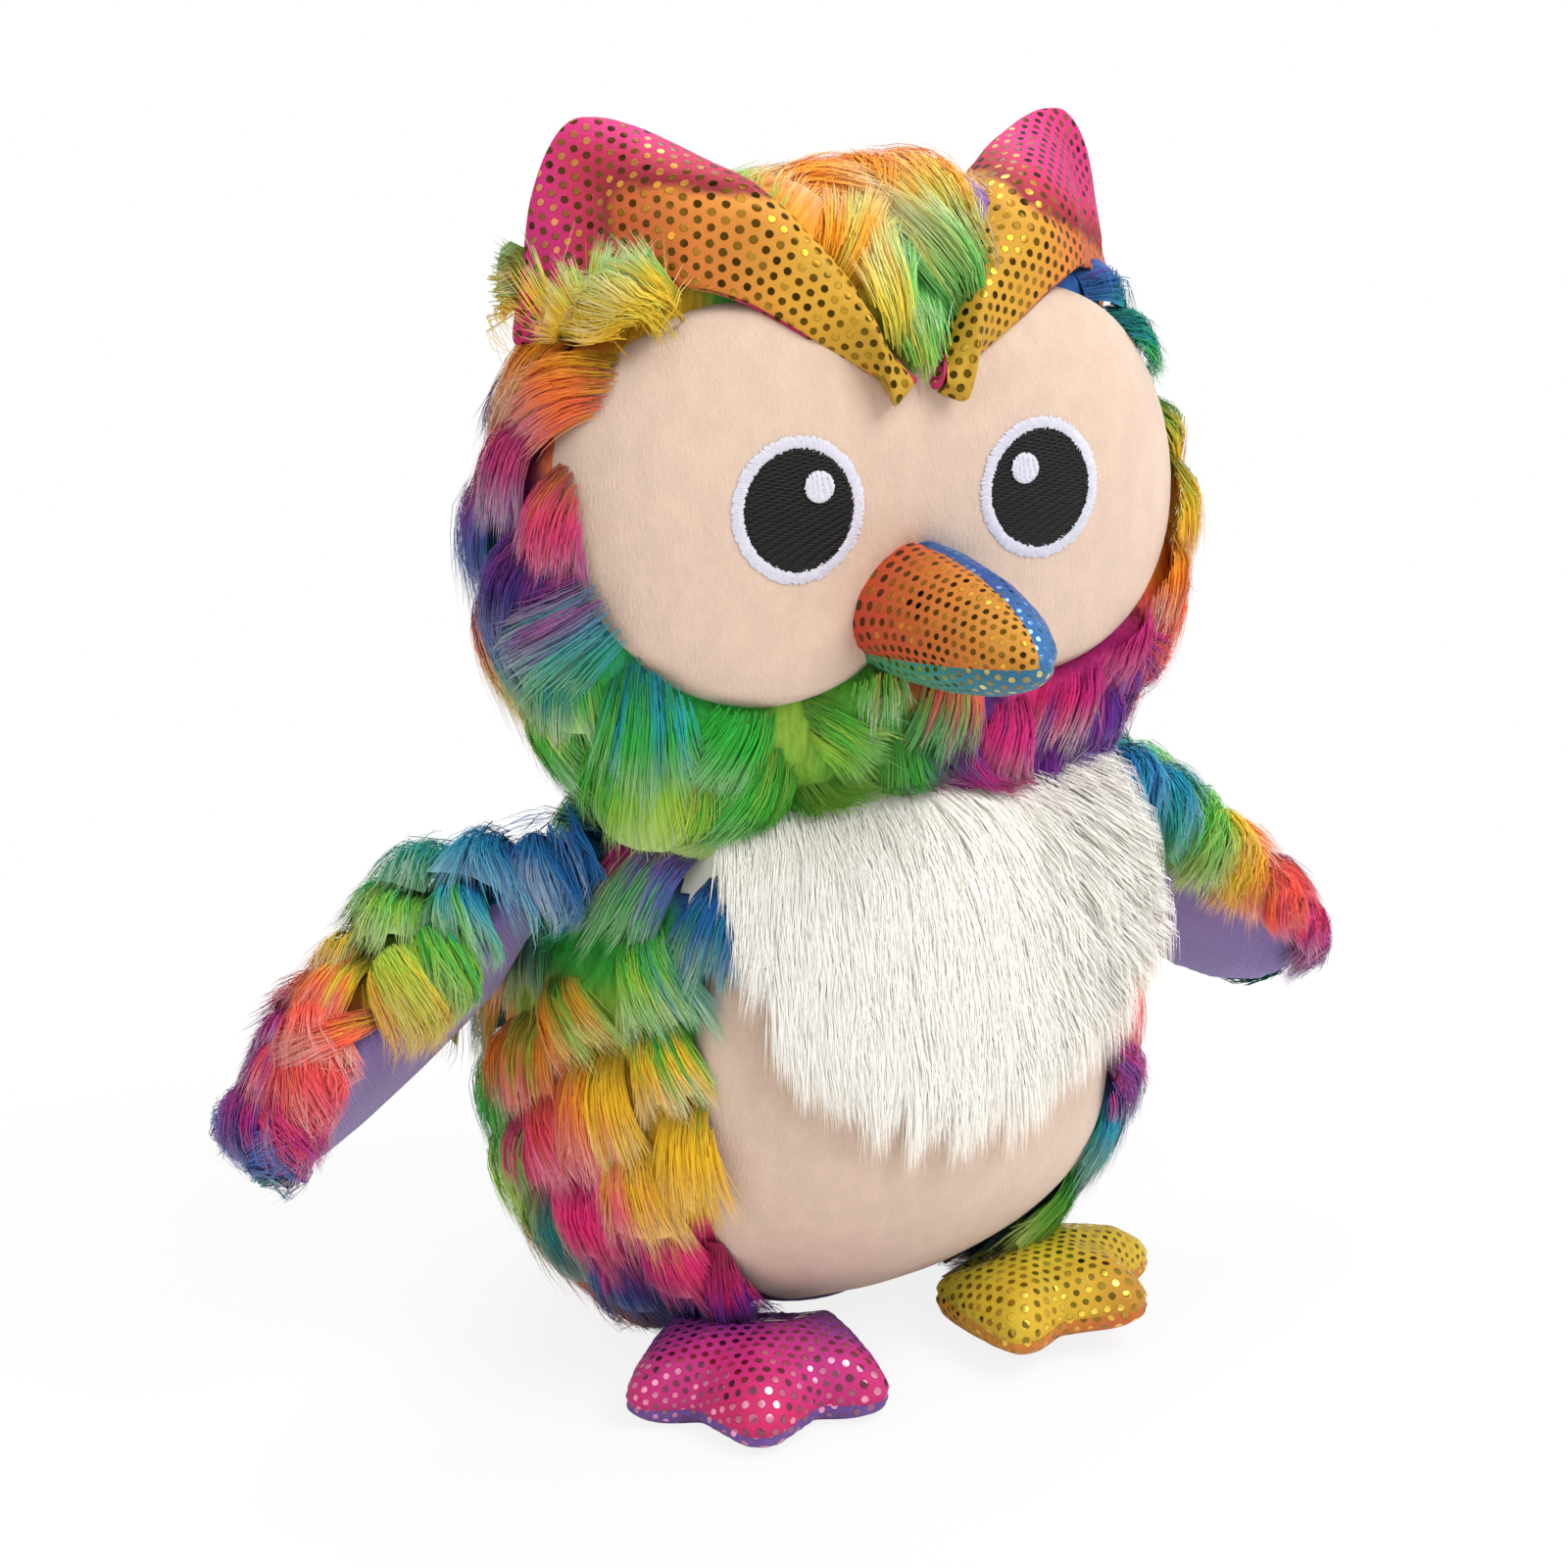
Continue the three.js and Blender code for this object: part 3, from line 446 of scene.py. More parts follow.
@dataclass(frozen=True)
class ThreadFinish:
    """Glossy embroidery thread, whose strands are in the mesh."""

    name: str
    colour: str
    sheen: float = 0.2

    def material(self) -> Material:
        """Builds the material."""
        shader = Shader(self.name, roughness=0.55, sheen_weight=self.sheen, specular_ior_level=0.3)
        tone = 0.85 + 0.3 * shader.noise(1200, 2)
        shader.drive("Base Color", shader.scale(linear(self.colour), tone))
        shader.bump(shader.noise(4000, 2), 0.08 * MM, 0.5)
        return shader.material


@dataclass(frozen=True)
class PlainFabric:
    """Plain woven backing or loose filling that hardly shows."""

    name: str
    colour: str

    def material(self) -> Material:
        """Builds the material."""
        shader = Shader(self.name, roughness=1.0)
        tone = 0.85 + 0.3 * shader.noise(400, 4)
        shader.drive("Base Color", shader.scale(linear(self.colour), tone))
        shader.bump(shader.noise(700, 4), 0.4 * MM, 0.6)
        return shader.material


# Smooth surfaces over the frame's nodes


@dataclass
class Patch:
    """A surface of triangles with smooth normals."""

    points: Array
    normals: Array
    triangles: Array

    def areas(self) -> Array:
        """The area of each triangle."""
        a, b, c = (self.points[self.triangles[:, i]] for i in range(3))
        return np.linalg.norm(np.cross(b - a, c - a), axis=1) / 2

    def scatter(self, count: int, rng: np.random.Generator) -> tuple[Array, Array]:
        """Chooses places at random, evenly over the area.

        Args:
            count: How many places.
            rng: Where the chance comes from.

        Returns:
            The places and their normals.
        """
        areas = self.areas()
        chosen = self.triangles[rng.choice(len(areas), count, p=areas / areas.sum())]
        share = rng.dirichlet((1, 1, 1), count)[:, :, None]
        places = (self.points[chosen] * share).sum(1)
        return places, unit((self.normals[chosen] * share).sum(1))


def spread_out(points: Array, spacing: float) -> Array:
    """Picks places that keep their distance from each other.

    Args:
        points: Candidates in random order.
        spacing: The least distance between two picks.

    Returns:
        The indices of the picks.
    """
    picks: list[int] = []
    taken = np.empty((0, 3))
    for i, point in enumerate(points):
        if len(taken) == 0 or ((taken - point) ** 2).sum(1).min() > spacing**2:
            picks.append(i)
            taken = points[picks]
    return np.array(picks)


def tree_of(name: str) -> BVHTree:
    """A search tree of a CAD node's mesh.

    Args:
        name: The node's name.

    Returns:
        The tree, in the row frame.
    """
    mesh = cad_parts[name].data
    corners = [vertex.co for vertex in mesh.vertices]
    return BVHTree.FromPolygons(corners, [tuple(p.vertices) for p in mesh.polygons])


def directions(around: Array, upright: Array) -> Array:
    """Makes unit vectors in rows of equal height.

    Args:
        around: Angles from the front towards the owl's left, in radians.
        upright: Angles above the level, in radians.

    Returns:
        A vector for each row and column.
    """
    flat = np.cos(upright)[:, None]
    rise = np.repeat(np.sin(upright)[:, None], len(around), 1)
    return np.stack([flat * np.sin(around), -flat * np.cos(around), rise], -1)


class Form:
    """A smooth round surface over some nodes, as a distance from a middle in each direction."""

    def __init__(
        self,
        levels: dict[str, float],
        middle: tuple[float, float, float],
        columns: int = 160,
        rows: int = 80,
        blur: float = 2.2,
    ) -> None:
        """Measures the nodes from outside.

        Args:
            levels: For each node, how far its outer face is above the form's own surface.
            middle: A place inside, from which every direction leaves the form once.
            columns: Steps round the upright axis.
            rows: Steps from the bottom to the top.
            blur: How many steps the facets are smoothed over.
        """
        self.middle = np.array(middle)
        self.columns, self.rows = columns, rows
        around = np.arange(columns) * 2 * math.pi / columns
        upright = (np.arange(rows) + 0.5) * math.pi / rows - math.pi / 2
        heading = directions(around, upright)
        reach = self._measure(levels, heading)
        self.reach = self._blurred(reach, blur)
        self.heading = heading
        self.points = self.middle + heading * self.reach[..., None]
        self.normals = self._normals()

    def _measure(self, levels: dict[str, float], heading: Array) -> Array:
        far = 400 * MM
        reach = np.zeros((self.rows, self.columns))
        trees = [(tree_of(name), level) for name, level in levels.items()]
        for i in range(self.rows):
            for j in range(self.columns):
                away = Vector(heading[i, j])
                start = Vector(self.middle) + away * far
                for tree, level in trees:
                    distance = tree.ray_cast(start, -away, far)[3]
                    if distance is not None:
                        reach[i, j] = max(reach[i, j], far - distance - level)
        return reach

    def _blurred(self, reach: Array, blur: float) -> Array:
        radius = math.ceil(3 * blur)
        offsets = np.arange(-radius, radius + 1)
        weights = np.exp(-((offsets / blur) ** 2) / 2)
        weights /= weights.sum()
        half = self.columns // 2
        turned = np.roll(reach, half, 1)
        tall = np.concatenate([turned[radius - 1 :: -1], reach, turned[: -radius - 1 : -1]])
        reach = sum(w * tall[radius + o : radius + o + self.rows] for w, o in zip(weights, offsets))
        return sum(w * np.roll(reach, o, 1) for w, o in zip(weights, offsets))

    def _normals(self) -> Array:
        across = np.roll(self.points, -1, 1) - np.roll(self.points, 1, 1)
        along = np.gradient(self.points, axis=0)
        return unit(np.cross(across, along))

    def _look_up(self, heading: Array, table: Array) -> Array:
        """Reads a table of the grid in any directions, between its steps."""
        column = (np.arctan2(heading[..., 0], -heading[..., 1]) / (2 * math.pi)) % 1 * self.columns
        row = (np.arcsin(np.clip(heading[..., 2], -1, 1)) / math.pi + 0.5) * self.rows - 0.5
        row = np.clip(row, 0, self.rows - 1.001)
        i, j = row.astype(int), column.astype(int) % self.columns
        fi, fj = (row - i)[..., None], (column - column.astype(int))[..., None]
        k = (j + 1) % self.columns
        low = table[i, j] * (1 - fj) + table[i, k] * fj
        high = table[i + 1, j] * (1 - fj) + table[i + 1, k] * fj
        return low * (1 - fi) + high * fi

    def settle(self, points: Array, heights: Array) -> tuple[Array, Array]:
        """Lays points at heights above the surface.

        Args:
            points: Places near the surface.
            heights: How far above the surface each is to lie.

        Returns:
            The new places, and the surface's normals there.
        """
        heading = unit(points - self.middle)
        reach = self._look_up(heading, self.reach[..., None])
        normals = unit(self._look_up(heading, self.normals))
        return self.middle + heading * reach + normals * heights[..., None], normals

    def height_of(self, points: Array) -> Array:
        """How far above the surface each of some places is, along its normal."""
        heading = unit(points - self.middle)
        far = np.linalg.norm(points - self.middle, axis=-1)
        reach = self._look_up(heading, self.reach[..., None])[..., 0]
        return (far - reach) * (unit(self._look_up(heading, self.normals)) * heading).sum(-1)

    def cleared(self, points: Array, least: float) -> Array:
        """Moves places out until each is at least so far above the surface."""
        heading = unit(points - self.middle)
        return points + heading * np.maximum(least - self.height_of(points), 0)[..., None]

    def relief_of(self, name: str, low: float, high: float) -> Reading:
        """Measures how high a CAD cover stands over the surface.

        Args:
            name: The cover's node.
            low: The least height that it has.
            high: The greatest.

        Returns:
            What reads the height at places.
        """
        over = np.clip(self._measure({name: 0.0}, self.heading) - self.reach, low, high)
        table = self._blurred(over, 0.7)[..., None]
        return lambda points: self._look_up(unit(points - self.middle), table)[..., 0]

    def patch(self, level: float) -> Patch:
        """The surface moved out by a level, as triangles.

        Args:
            level: How far it is moved.

        Returns:
            The triangles, closed at the poles.
        """
        grid = self.points + self.normals * level
        ends = [grid[0].mean(0), grid[-1].mean(0)]
        points = np.concatenate([grid.reshape(-1, 3), ends])
        normals = np.concatenate([self.normals.reshape(-1, 3), [-UP, UP]])
        index = np.arange(self.rows * self.columns).reshape(self.rows, self.columns)
        a, b = index[:-1], np.roll(index[:-1], -1, 1)
        c, d = index[1:], np.roll(index[1:], -1, 1)
        faces = [np.stack([a, b, d], -1).reshape(-1, 3), np.stack([a, d, c], -1).reshape(-1, 3)]
        for pole, ring in ((len(points) - 2, index[0]), (len(points) - 1, index[-1])):
            nearby = [np.full(self.columns, pole), np.roll(ring, -1), ring]
            faces.append(np.stack(nearby if pole % 2 == 0 else nearby, -1))
        return Patch(points, normals, np.concatenate(faces))

    def front(self, across: Array, height: Array, level: Array) -> Array:
        """Finds the places on the front that are seen at given coordinates.

        Args:
            across: X of each place.
            height: Z of each place.
            level: How far above the surface it is.

        Returns:
            The places.
        """
        wanted = np.stack([across, np.full_like(across, self.points[..., 1].min()), height], -1)
        guess = wanted.copy()
        for _ in range(6):
            found, _ = self.settle(guess, level)
            guess = guess + (wanted - found) * [1, 0, 1]
        return found

    def sheet(self, level: Reading, keep: Reading, finer: int = 3) -> Patch:
        """Part of the surface as a fine grid at a varying level.

        Args:
            level: How far above the surface each place lies.
            keep: Which places belong to the sheet.
            finer: Steps for each step of the form.

        Returns:
            The sheet's triangles.
        """
        rows, columns = self.rows * finer, self.columns * finer
        around = np.arange(columns) * 2 * math.pi / columns
        upright = (np.arange(1, rows)) * math.pi / rows - math.pi / 2
        heading = directions(around, upright)
        base, normals = self.settle(self.middle + heading, np.zeros(heading.shape[:2]))
        points = base + normals * level(base)[..., None]
        kept = keep(base)
        index = np.arange(kept.size).reshape(kept.shape)
        whole = kept & np.roll(kept, -1, 1)
        whole = whole[:-1] & whole[1:]
        a, b = index[:-1][whole], np.roll(index, -1, 1)[:-1][whole]
        c, d = index[1:][whole], np.roll(index, -1, 1)[1:][whole]
        faces = np.stack([a, b, d, c], -1)
        used, renamed = np.unique(faces, return_inverse=True)
        points, normals = points.reshape(-1, 3)[used], normals.reshape(-1, 3)[used]
        return Patch(points, normals, renamed.reshape(-1, 4))

    def at(self, azimuth: float, height: float, axis: float) -> Array:
        """The place on the surface at an azimuth from the front and a height.

        Args:
            azimuth: Degrees from the front towards the owl's left.
            height: Height above the ground.
            axis: Y of the upright line that the azimuth is measured about.

        Returns:
            A point.
        """
        turn = math.radians(azimuth)
        points = self.points.reshape(-1, 3) - [0, axis, 0]
        ahead = points[:, 0] * math.sin(turn) - points[:, 1] * math.cos(turn)
        aside = points[:, 0] * math.cos(turn) + points[:, 1] * math.sin(turn)
        gap = np.hypot(aside, points[:, 2] - height) + (ahead < 0)
        return points[gap.argmin()] + [0, axis, 0]


# Dyes and fur


class TieDye:
    """Dabs of dye that have spread until they met."""

    def __init__(
        self, dabs: Sequence[tuple[Dye, Sequence[float]]], seed: int, bleed: float = 2.2 * MM
    ) -> None:
        """Sets the dabs.

        Args:
            dabs: Each dab's dye and place.
            seed: Fixes how ragged the borders are.
            bleed: How wide the dyes mix where they meet.
        """
        self.places = np.array([place for _, place in dabs])
        self.colours = np.array([linear(dye.value) for dye, _ in dabs])
        self.bleed = bleed
        self.warps = [Ripple(seed + i, 26 * MM) for i in range(3)]

    def at(self, points: Array) -> Array:
        """The colour at each place.

        Args:
            points: Places, one per row.

        Returns:
            Linear colours, one per row.
        """
        warp = np.stack([ripple.at(points) for ripple in self.warps], -1)
        moved = points + warp * 2.4 * MM
        blocks = []
        for block in np.array_split(moved, math.ceil(len(moved) / BLOCK)):
            gaps = np.linalg.norm(block[:, None] - self.places, axis=2)
            weights = np.exp((gaps.min(1, keepdims=True) - gaps) / self.bleed)
            blocks.append(weights @ self.colours / weights.sum(1, keepdims=True))
        return np.concatenate(blocks)


@dataclass(frozen=True)
class Pile:
    """How fibres grow in tufts, each a fan that lies over the foot of the next."""

    spacing: float = 12.5 * MM
    hang: float = 5 * MM
    foot: float = 9 * MM
    reach: float = 13.5 * MM
    narrow: float = 5.5 * MM
    wide: float = 10.5 * MM
    rise: float = 9.6 * MM
    droop: float = 0.3
    fibres: int = 300
    width: float = 0.22 * MM
    steps: int = 5
    wander: float = 0.7
    wisps: int = 13
    dense_front: float = -8 * MM
    stray: float = 0.45 * MM
    edge_fall: float = 0.45
    fan_fill: float = 0.84
    fan_end: float = 0.86


@dataclass
class Strands:
    """Fibres as paths with a width, a colour and a normal at each of their points."""

    paths: Array
    normals: Array
    dye: Array
    along: Array
    tone: Array
    frost: Array
    width: float
    twist: Array

    def chosen(self, keep: Array) -> "Strands":
        """The fibres that a mask keeps.

        Args:
            keep: True for each fibre to keep.

        Returns:
            New strands.
        """
        parts = (self.paths, self.normals, self.dye, self.along, self.tone, self.frost)
        return Strands(*(part[keep] for part in parts), self.width, self.twist[keep])

    def mesh(self, name: str, material: Material) -> Object:
        """Makes each fibre a tapered ribbon that ends in a point.

        Args:
            name: The object's name.
            material: What it wears.

        Returns:
            The object.
        """
        count, steps, _ = self.paths.shape
        along = np.gradient(self.paths, axis=1)
        side = unit(np.cross(unit(along), self.normals))
        turn = self.twist[:, None, None]
        side = unit(side * np.cos(turn) + np.cross(unit(along), side) * np.sin(turn))
        share = np.linspace(0, 1, steps)
        taper = (1 - 0.75 * share**2.5)[:-1, None] * self.width / 2
        edge = side[:, :-1] * taper
        left, right = self.paths[:, :-1] - edge, self.paths[:, :-1] + edge
        pairs = np.stack([left, right], 2).reshape(count, -1, 3)
        points = np.concatenate([pairs, self.paths[:, -1:]], 1)
        bent = side[:, :-1] * 0.45
        flanks = np.stack([self.normals[:, :-1] - bent, self.normals[:, :-1] + bent], 2)
        normals = np.concatenate([flanks.reshape(count, -1, 3), self.normals[:, -1:]], 1)
        twice = np.append(np.repeat(np.arange(steps - 1), 2), steps - 1)
        marks = np.empty((count, len(twice), 3))
        marks[..., 0] = self.along[:, twice]
        marks[..., 1] = self.tone[:, None]
        marks[..., 2] = self.frost[:, None]
        quads = np.array([[2 * i, 2 * i + 1, 2 * i + 3, 2 * i + 2] for i in range(steps - 2)])
        start = np.arange(count)[:, None, None] * len(twice)
        last = 2 * steps - 4
        tips = np.array([[last, last + 1, last + 2]])
        quads = (quads + start).reshape(-1, 4)
        tips = (tips + start).reshape(-1, 3)
        cells = self._cells(count, share[twice], twice)
        return mesh_object(
            name,
            points.reshape(-1, 3),
            [quads, tips],
            material,
            colours={"dye": self.dye[:, twice].reshape(-1, 3)},
            vectors={"fibre": marks.reshape(-1, 3)},
            normals=unit(normals).reshape(-1, 3),
            flat=cells.reshape(-1, 2),
        )

    @staticmethod
    def _cells(count: int, share: Array, twice: Array) -> Array:
        """Lays each fibre flat in a cell of its own."""
        rows = math.ceil(math.sqrt(count))
        cell = np.stack(np.divmod(np.arange(count), rows), -1)[:, None]
        across = np.where(np.arange(len(twice)) % 2, 0.9, 0.1)
        across[-1] = 0.5
        inside = np.stack([across, 0.08 + 0.84 * share], -1)
        return (cell + inside) / rows


def mesh_object(
    name: str,
    points: Array,
    faces: Sequence[Array],
    material: Material,
    colours: dict[str, Array] | None = None,
    vectors: dict[str, Array] | None = None,
    normals: Array | None = None,
    flat: Array | None = None,
) -> Object:
    """Makes a smooth object from arrays.

    Args:
        name: The object's name.
        points: Its vertices.
        faces: Arrays of vertex numbers, each with faces of one size.
        material: What it wears.
        colours: Colours that each vertex carries, by name.
        vectors: Vectors that each vertex carries, by name.
        normals: A normal for each vertex, if the faces' own won't do.
        flat: A place on the flattened surface for each vertex.

    Returns:
        The object, linked to the scene.
    """
    faces = [block for block in faces if len(block)]
    corners = np.concatenate([block.ravel() for block in faces]).astype(np.int32)
    sizes = np.concatenate([np.full(len(block), block.shape[1]) for block in faces])
    starts = np.concatenate([[0], np.cumsum(sizes)[:-1]]).astype(np.int32)
    mesh = bpy.data.meshes.new(name)
    mesh.vertices.add(len(points))
    mesh.vertices.foreach_set("co", points.astype(np.float32).ravel())
    mesh.loops.add(len(corners))
    mesh.loops.foreach_set("vertex_index", corners)
    mesh.polygons.add(len(sizes))
    mesh.polygons.foreach_set("loop_start", starts)
    mesh.polygons.foreach_set("use_smooth", np.ones(len(sizes), bool))
    mesh.update(calc_edges=True)
    mesh.validate()
    for key, values in (colours or {}).items():
        layer = mesh.color_attributes.new(key, "FLOAT_COLOR", "POINT")
        padded = np.concatenate([values, np.ones((len(values), 1))], 1)
        layer.data.foreach_set("color", padded.astype(np.float32).ravel())
    for key, values in (vectors or {}).items():
        layer = mesh.attributes.new(key, "FLOAT_VECTOR", "POINT")
        layer.data.foreach_set("vector", values.astype(np.float32).ravel())
    if flat is not None:
        layer = mesh.uv_layers.new(name="OFBake", do_init=False)
        layer.uv.foreach_set("vector", flat[corners].astype(np.float32).ravel())
    if normals is not None:
        mesh.normals_split_custom_set_from_vertices(normals.astype(np.float32))
    mesh.materials.append(material)
    made = bpy.data.objects.new(name, mesh)
    bpy.context.scene.collection.objects.link(made)
    return made


def assign(piece: Object, body: str, node: str = "") -> None:
    """Says what a piece rides on and stands for.

    Args:
        piece: The piece.
        body: The body that it moves with.
        node: The CAD node that it replaces, if any.
    """
    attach(piece, body)
    if node:
        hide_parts(node)


class Coat:
    """Fur that grows in overlapping tufts over a surface."""

    def __init__(self, ground: "Form | Skin", pile: Pile, dye: TieDye, seed: int) -> None:
        """Prepares the fur.

        Args:
            ground: The surface, which passes through the roots of the fibres.
            pile: How the fibres grow.
            dye: Their colours.
            seed: Fixes the chance in it.
        """
        self.ground = ground
        self.pile = pile
        self.dye = dye
        self.rng = np.random.default_rng(seed)

    def grow(
        self,
        patch: Patch,
        keep: Reading,
        flow: Callable[[Array, Array], Array],
        tops: Array,
        fuller: Reading | None = None,
    ) -> Strands:
        """Grows the fibres.

        Args:
            patch: Where tufts may stand.
            keep: Says which of some places have fur.
            flow: The direction in which tufts lie, from their places and normals.
            tops: Where tufts have their tops. Others fill the space between them.
            fuller: How much fuller than the pile the fur is, from places.

        Returns:
            The fibres.
        """
        pile, rng = self.pile, self.rng
        self.places, self.lean = self._tufts(patch, keep, flow, tops)
        tufts = len(self.places)
        self.size = rng.uniform(0.82, 1.15, tufts)
        self.lift = self.size * (1 if fuller is None else fuller(self.places))
        self.bend = rng.normal(0, 0.12, tufts)
        front = self.places[:, 1] < pile.dense_front
        tuft = np.repeat(np.arange(tufts), np.where(front, 2 * pile.fibres, pile.fibres))
        count = len(tuft)
        side = rng.uniform(-1, 1, count)
        wisp = np.floor((side + 1) / 2 * pile.wisps + rng.uniform(0, 1.2, count)).astype(int)
        middle = (wisp - 0.1) * 2 / pile.wisps - 1
        wisp += tuft * (pile.wisps + 2)
        wisps = tufts * (pile.wisps + 2)
        layer = 1 - 0.2 * rng.uniform(0, 1, count) ** 1.3 + rng.normal(0, 0.03, count)
        layer += rng.normal(0, 0.05, wisps)[wisp]
        start = 0.75 * rng.uniform(0, 1, count) ** 1.2
        end = 1 + rng.normal(0, 0.07, count) + rng.normal(0, 0.08, wisps)[wisp]
        side_step = 0.7 * (middle - side) + rng.normal(0, 0.06, count)
        side_step += rng.normal(0, 0.1, wisps)[wisp]
        paths, shading, along = self._lay(tuft, side, side_step, start, end, layer)
        share = np.linspace(0, 1, pile.steps)[:, None]
        paths += rng.normal(0, pile.stray, (count, 1, 3)) * share
        paths += shading * (rng.normal(0.3, 1, (count, 1, 1)) * MM * share**3)
        paths[..., 2] = np.maximum(paths[..., 2], FLOOR_GAP)
        moved = rng.normal(0, 2.4 * MM, (wisps, 1, 3))[wisp]
        colours = self._dyed(tuft, paths, 1.2 * MM, moved)
        tone = rng.normal(0.5, 0.13, count) + rng.normal(0, 0.1, wisps)[wisp]
        tone += rng.normal(0, 0.07, tufts)[tuft]
        frost = rng.beta(1.6, 2.2, count) * rng.uniform(0.5, 1.3, tufts)[tuft]
        clipped = (np.clip(part, 0, 1) for part in (tone, frost))
        twist = rng.normal(0, 0.3, count)
        fibres = Strands(paths, shading, colours, along, *clipped, pile.width, twist)
        return fibres.chosen(keep(paths[:, 0]))

    def fans(
        self,
        keep: Reading,
        name: str,
        body: str,
        material: Material,
        columns: int = 8,
    ) -> None:
        """Makes the dense wool inside each tuft, as a curved fan under its fibres.

        Args:
            keep: Says which of some places have fur.
            name: The piece's name.
            body: What it rides on.
            material: What it wears.
            columns: Rows of points across a fan.
        """
        tufts, steps = len(self.places), self.pile.steps
        tuft = np.repeat(np.arange(tufts), columns)
        side = np.tile(np.linspace(-0.97, 0.97, columns), tufts)
        flat = np.zeros(len(tuft))
        end, layer = flat + self.pile.fan_end, flat + self.pile.fan_fill
        points, _, along = self._lay(tuft, side, flat, flat, end, layer)
        points[..., 2] = np.maximum(points[..., 2], FLOOR_GAP)
        kept = keep(points[:, 0]).reshape(tufts, columns)
        index = np.arange(tufts * columns * steps).reshape(tufts, columns, steps)
        whole = kept[:, :-1] & kept[:, 1:] & (kept.mean(1) > 0.6)[:, None]
        a, b = index[:, :-1, :-1][whole], index[:, 1:, :-1][whole]
        c, d = index[:, 1:, 1:][whole], index[:, :-1, 1:][whole]
        faces = np.stack([a, b, c, d], -1).reshape(-1, 4)
        dye = self._dyed(tuft, points, 0).reshape(-1, 3)
        marks = np.stack([along, np.full_like(along, 0.45), np.full_like(along, 0.45)], -1)
        across = np.broadcast_to((side * 11 + tuft * 31.7)[:, None], along.shape)
        streak = np.stack([across, along * 1.6, np.zeros_like(along)], -1)
        vectors = {"fibre": marks.reshape(-1, 3), "streak": streak.reshape(-1, 3)}
        made = mesh_object(name, points.reshape(-1, 3), [faces], material, {"dye": dye}, vectors)
        assign(made, body)

    def _dyed(self, tuft: Array, paths: Array, blur: float, moved: Array | float = 0.0) -> Array:
        seen = self.places[tuft][:, None] * 0.3 + paths * 0.7 + moved
        seen = seen + self.rng.normal(0, 1, (len(paths), 1, 3)) * blur
        return self.dye.at(seen.reshape(-1, 3)).reshape(seen.shape)

    def _lay(
        self,
        tuft: Array,
        side: Array,
        side_step: Array,
        start: Array,
        end: Array,
        layer: Array,
    ) -> tuple[Array, Array, Array]:
        """Lays fibres along the fans of their tufts.

        Args:
            tuft: The number of each fibre's tuft.
            side: Where on the fan's width it is, from -1 to 1.
            side_step: How far its tip moves towards its wisp, on the same scale.
            start: The share of the fan's length at which it is rooted.
            end: The share at which it ends.
            layer: Its height as a share of the tuft's.

        Returns:
            The paths, their shading normals, and how far along the fan each point is.
        """
        pile, ground = self.pile, self.ground
        size = self.size[tuft]
        lean, place = self.lean[tuft], self.places[tuft]
        up = ground.settle(place, np.zeros(len(place)))[1]
        aside = np.cross(up, lean)
        length = (pile.foot + pile.reach) * size
        spread = (pile.wide - pile.narrow) * side * size
        heading = unit(lean * length[:, None] + aside * spread[:, None])
        x = start * length - pile.foot * size
        y = side * pile.narrow * size + start * spread
        at = place + lean * x[:, None] + aside * y[:, None]
        at, normal = ground.settle(at, np.zeros(len(at)))
        along = start[:, None] + (end - start)[:, None] * np.linspace(0, 1, pile.steps)
        step = (end - start) * np.hypot(length, spread) / (pile.steps - 1)
        base, normals = [at], [normal]
        for _ in range(pile.steps - 1):
            heading = unit(heading - (heading * normal).sum(1, keepdims=True) * normal)
            at, normal = ground.settle(at + heading * step[:, None], np.zeros(len(at)))
            base.append(at)
            normals.append(normal)
        base, normals = np.stack(base, 1), np.stack(normals, 1)
        swell = 0.28 + 0.72 * np.sin(np.minimum(along / 0.5, 1) * math.pi / 2)
        swell = swell - 0.12 * smoothstep(0.7, 1.02, along)
        fall = 1 - pile.edge_fall * side**2
        height = pile.rise * (self.lift[tuft] * fall * layer)[:, None] * swell
        share = np.linspace(0, 1, pile.steps)
        step_aside = (side_step * pile.wide * size)[:, None] * share**2
        step_aside += (self.bend[tuft] * pile.wide)[:, None] * along**2
        paths = base + normals * height[..., None] + aside[:, None] * step_aside[..., None]
        droop = np.clip(-1.3 * normals[..., 2], 0, 0.8) * (share * (end - start)[:, None]) ** 2
        paths -= (pile.droop * length[:, None] * droop)[..., None] * UP
        rounded = 0.7 * side[:, None, None] * aside[:, None]
        dipped = (along[..., None] - 0.45) * heading[:, None] * 1.2
        return paths, unit(normals + rounded + dipped), along

    def _tufts(
        self,
        patch: Patch,
        keep: Reading,
        flow: Callable[[Array, Array], Array],
        tops: Array,
    ) -> tuple[Array, Array]:
        """Places the tufts' middles, and says which way each lies."""
        pile, rng = self.pile, self.rng
        wanted = int(patch.areas().sum() / pile.spacing**2)
        places, _ = patch.scatter(14 * wanted, rng)
        if len(tops):
            level = self.ground.height_of(places).mean()
            tops, normals = self.ground.settle(tops, np.full(len(tops), level))
            fall = flow(tops, normals)
            fall = unit(fall - (fall * normals).sum(1, keepdims=True) * normals)
            places = np.concatenate([tops - pile.hang * fall, places])
        places = places[keep(places)]
        places = places[spread_out(places, pile.spacing)]
        normals = self.ground.settle(places, np.zeros(len(places)))[1]
        lean = flow(places, normals)
        lean = unit(lean - (lean * normals).sum(1, keepdims=True) * normals)
        lean = lean + rng.normal(size=places.shape) * pile.wander / 2
        return places, unit(lean - (lean * normals).sum(1, keepdims=True) * normals)


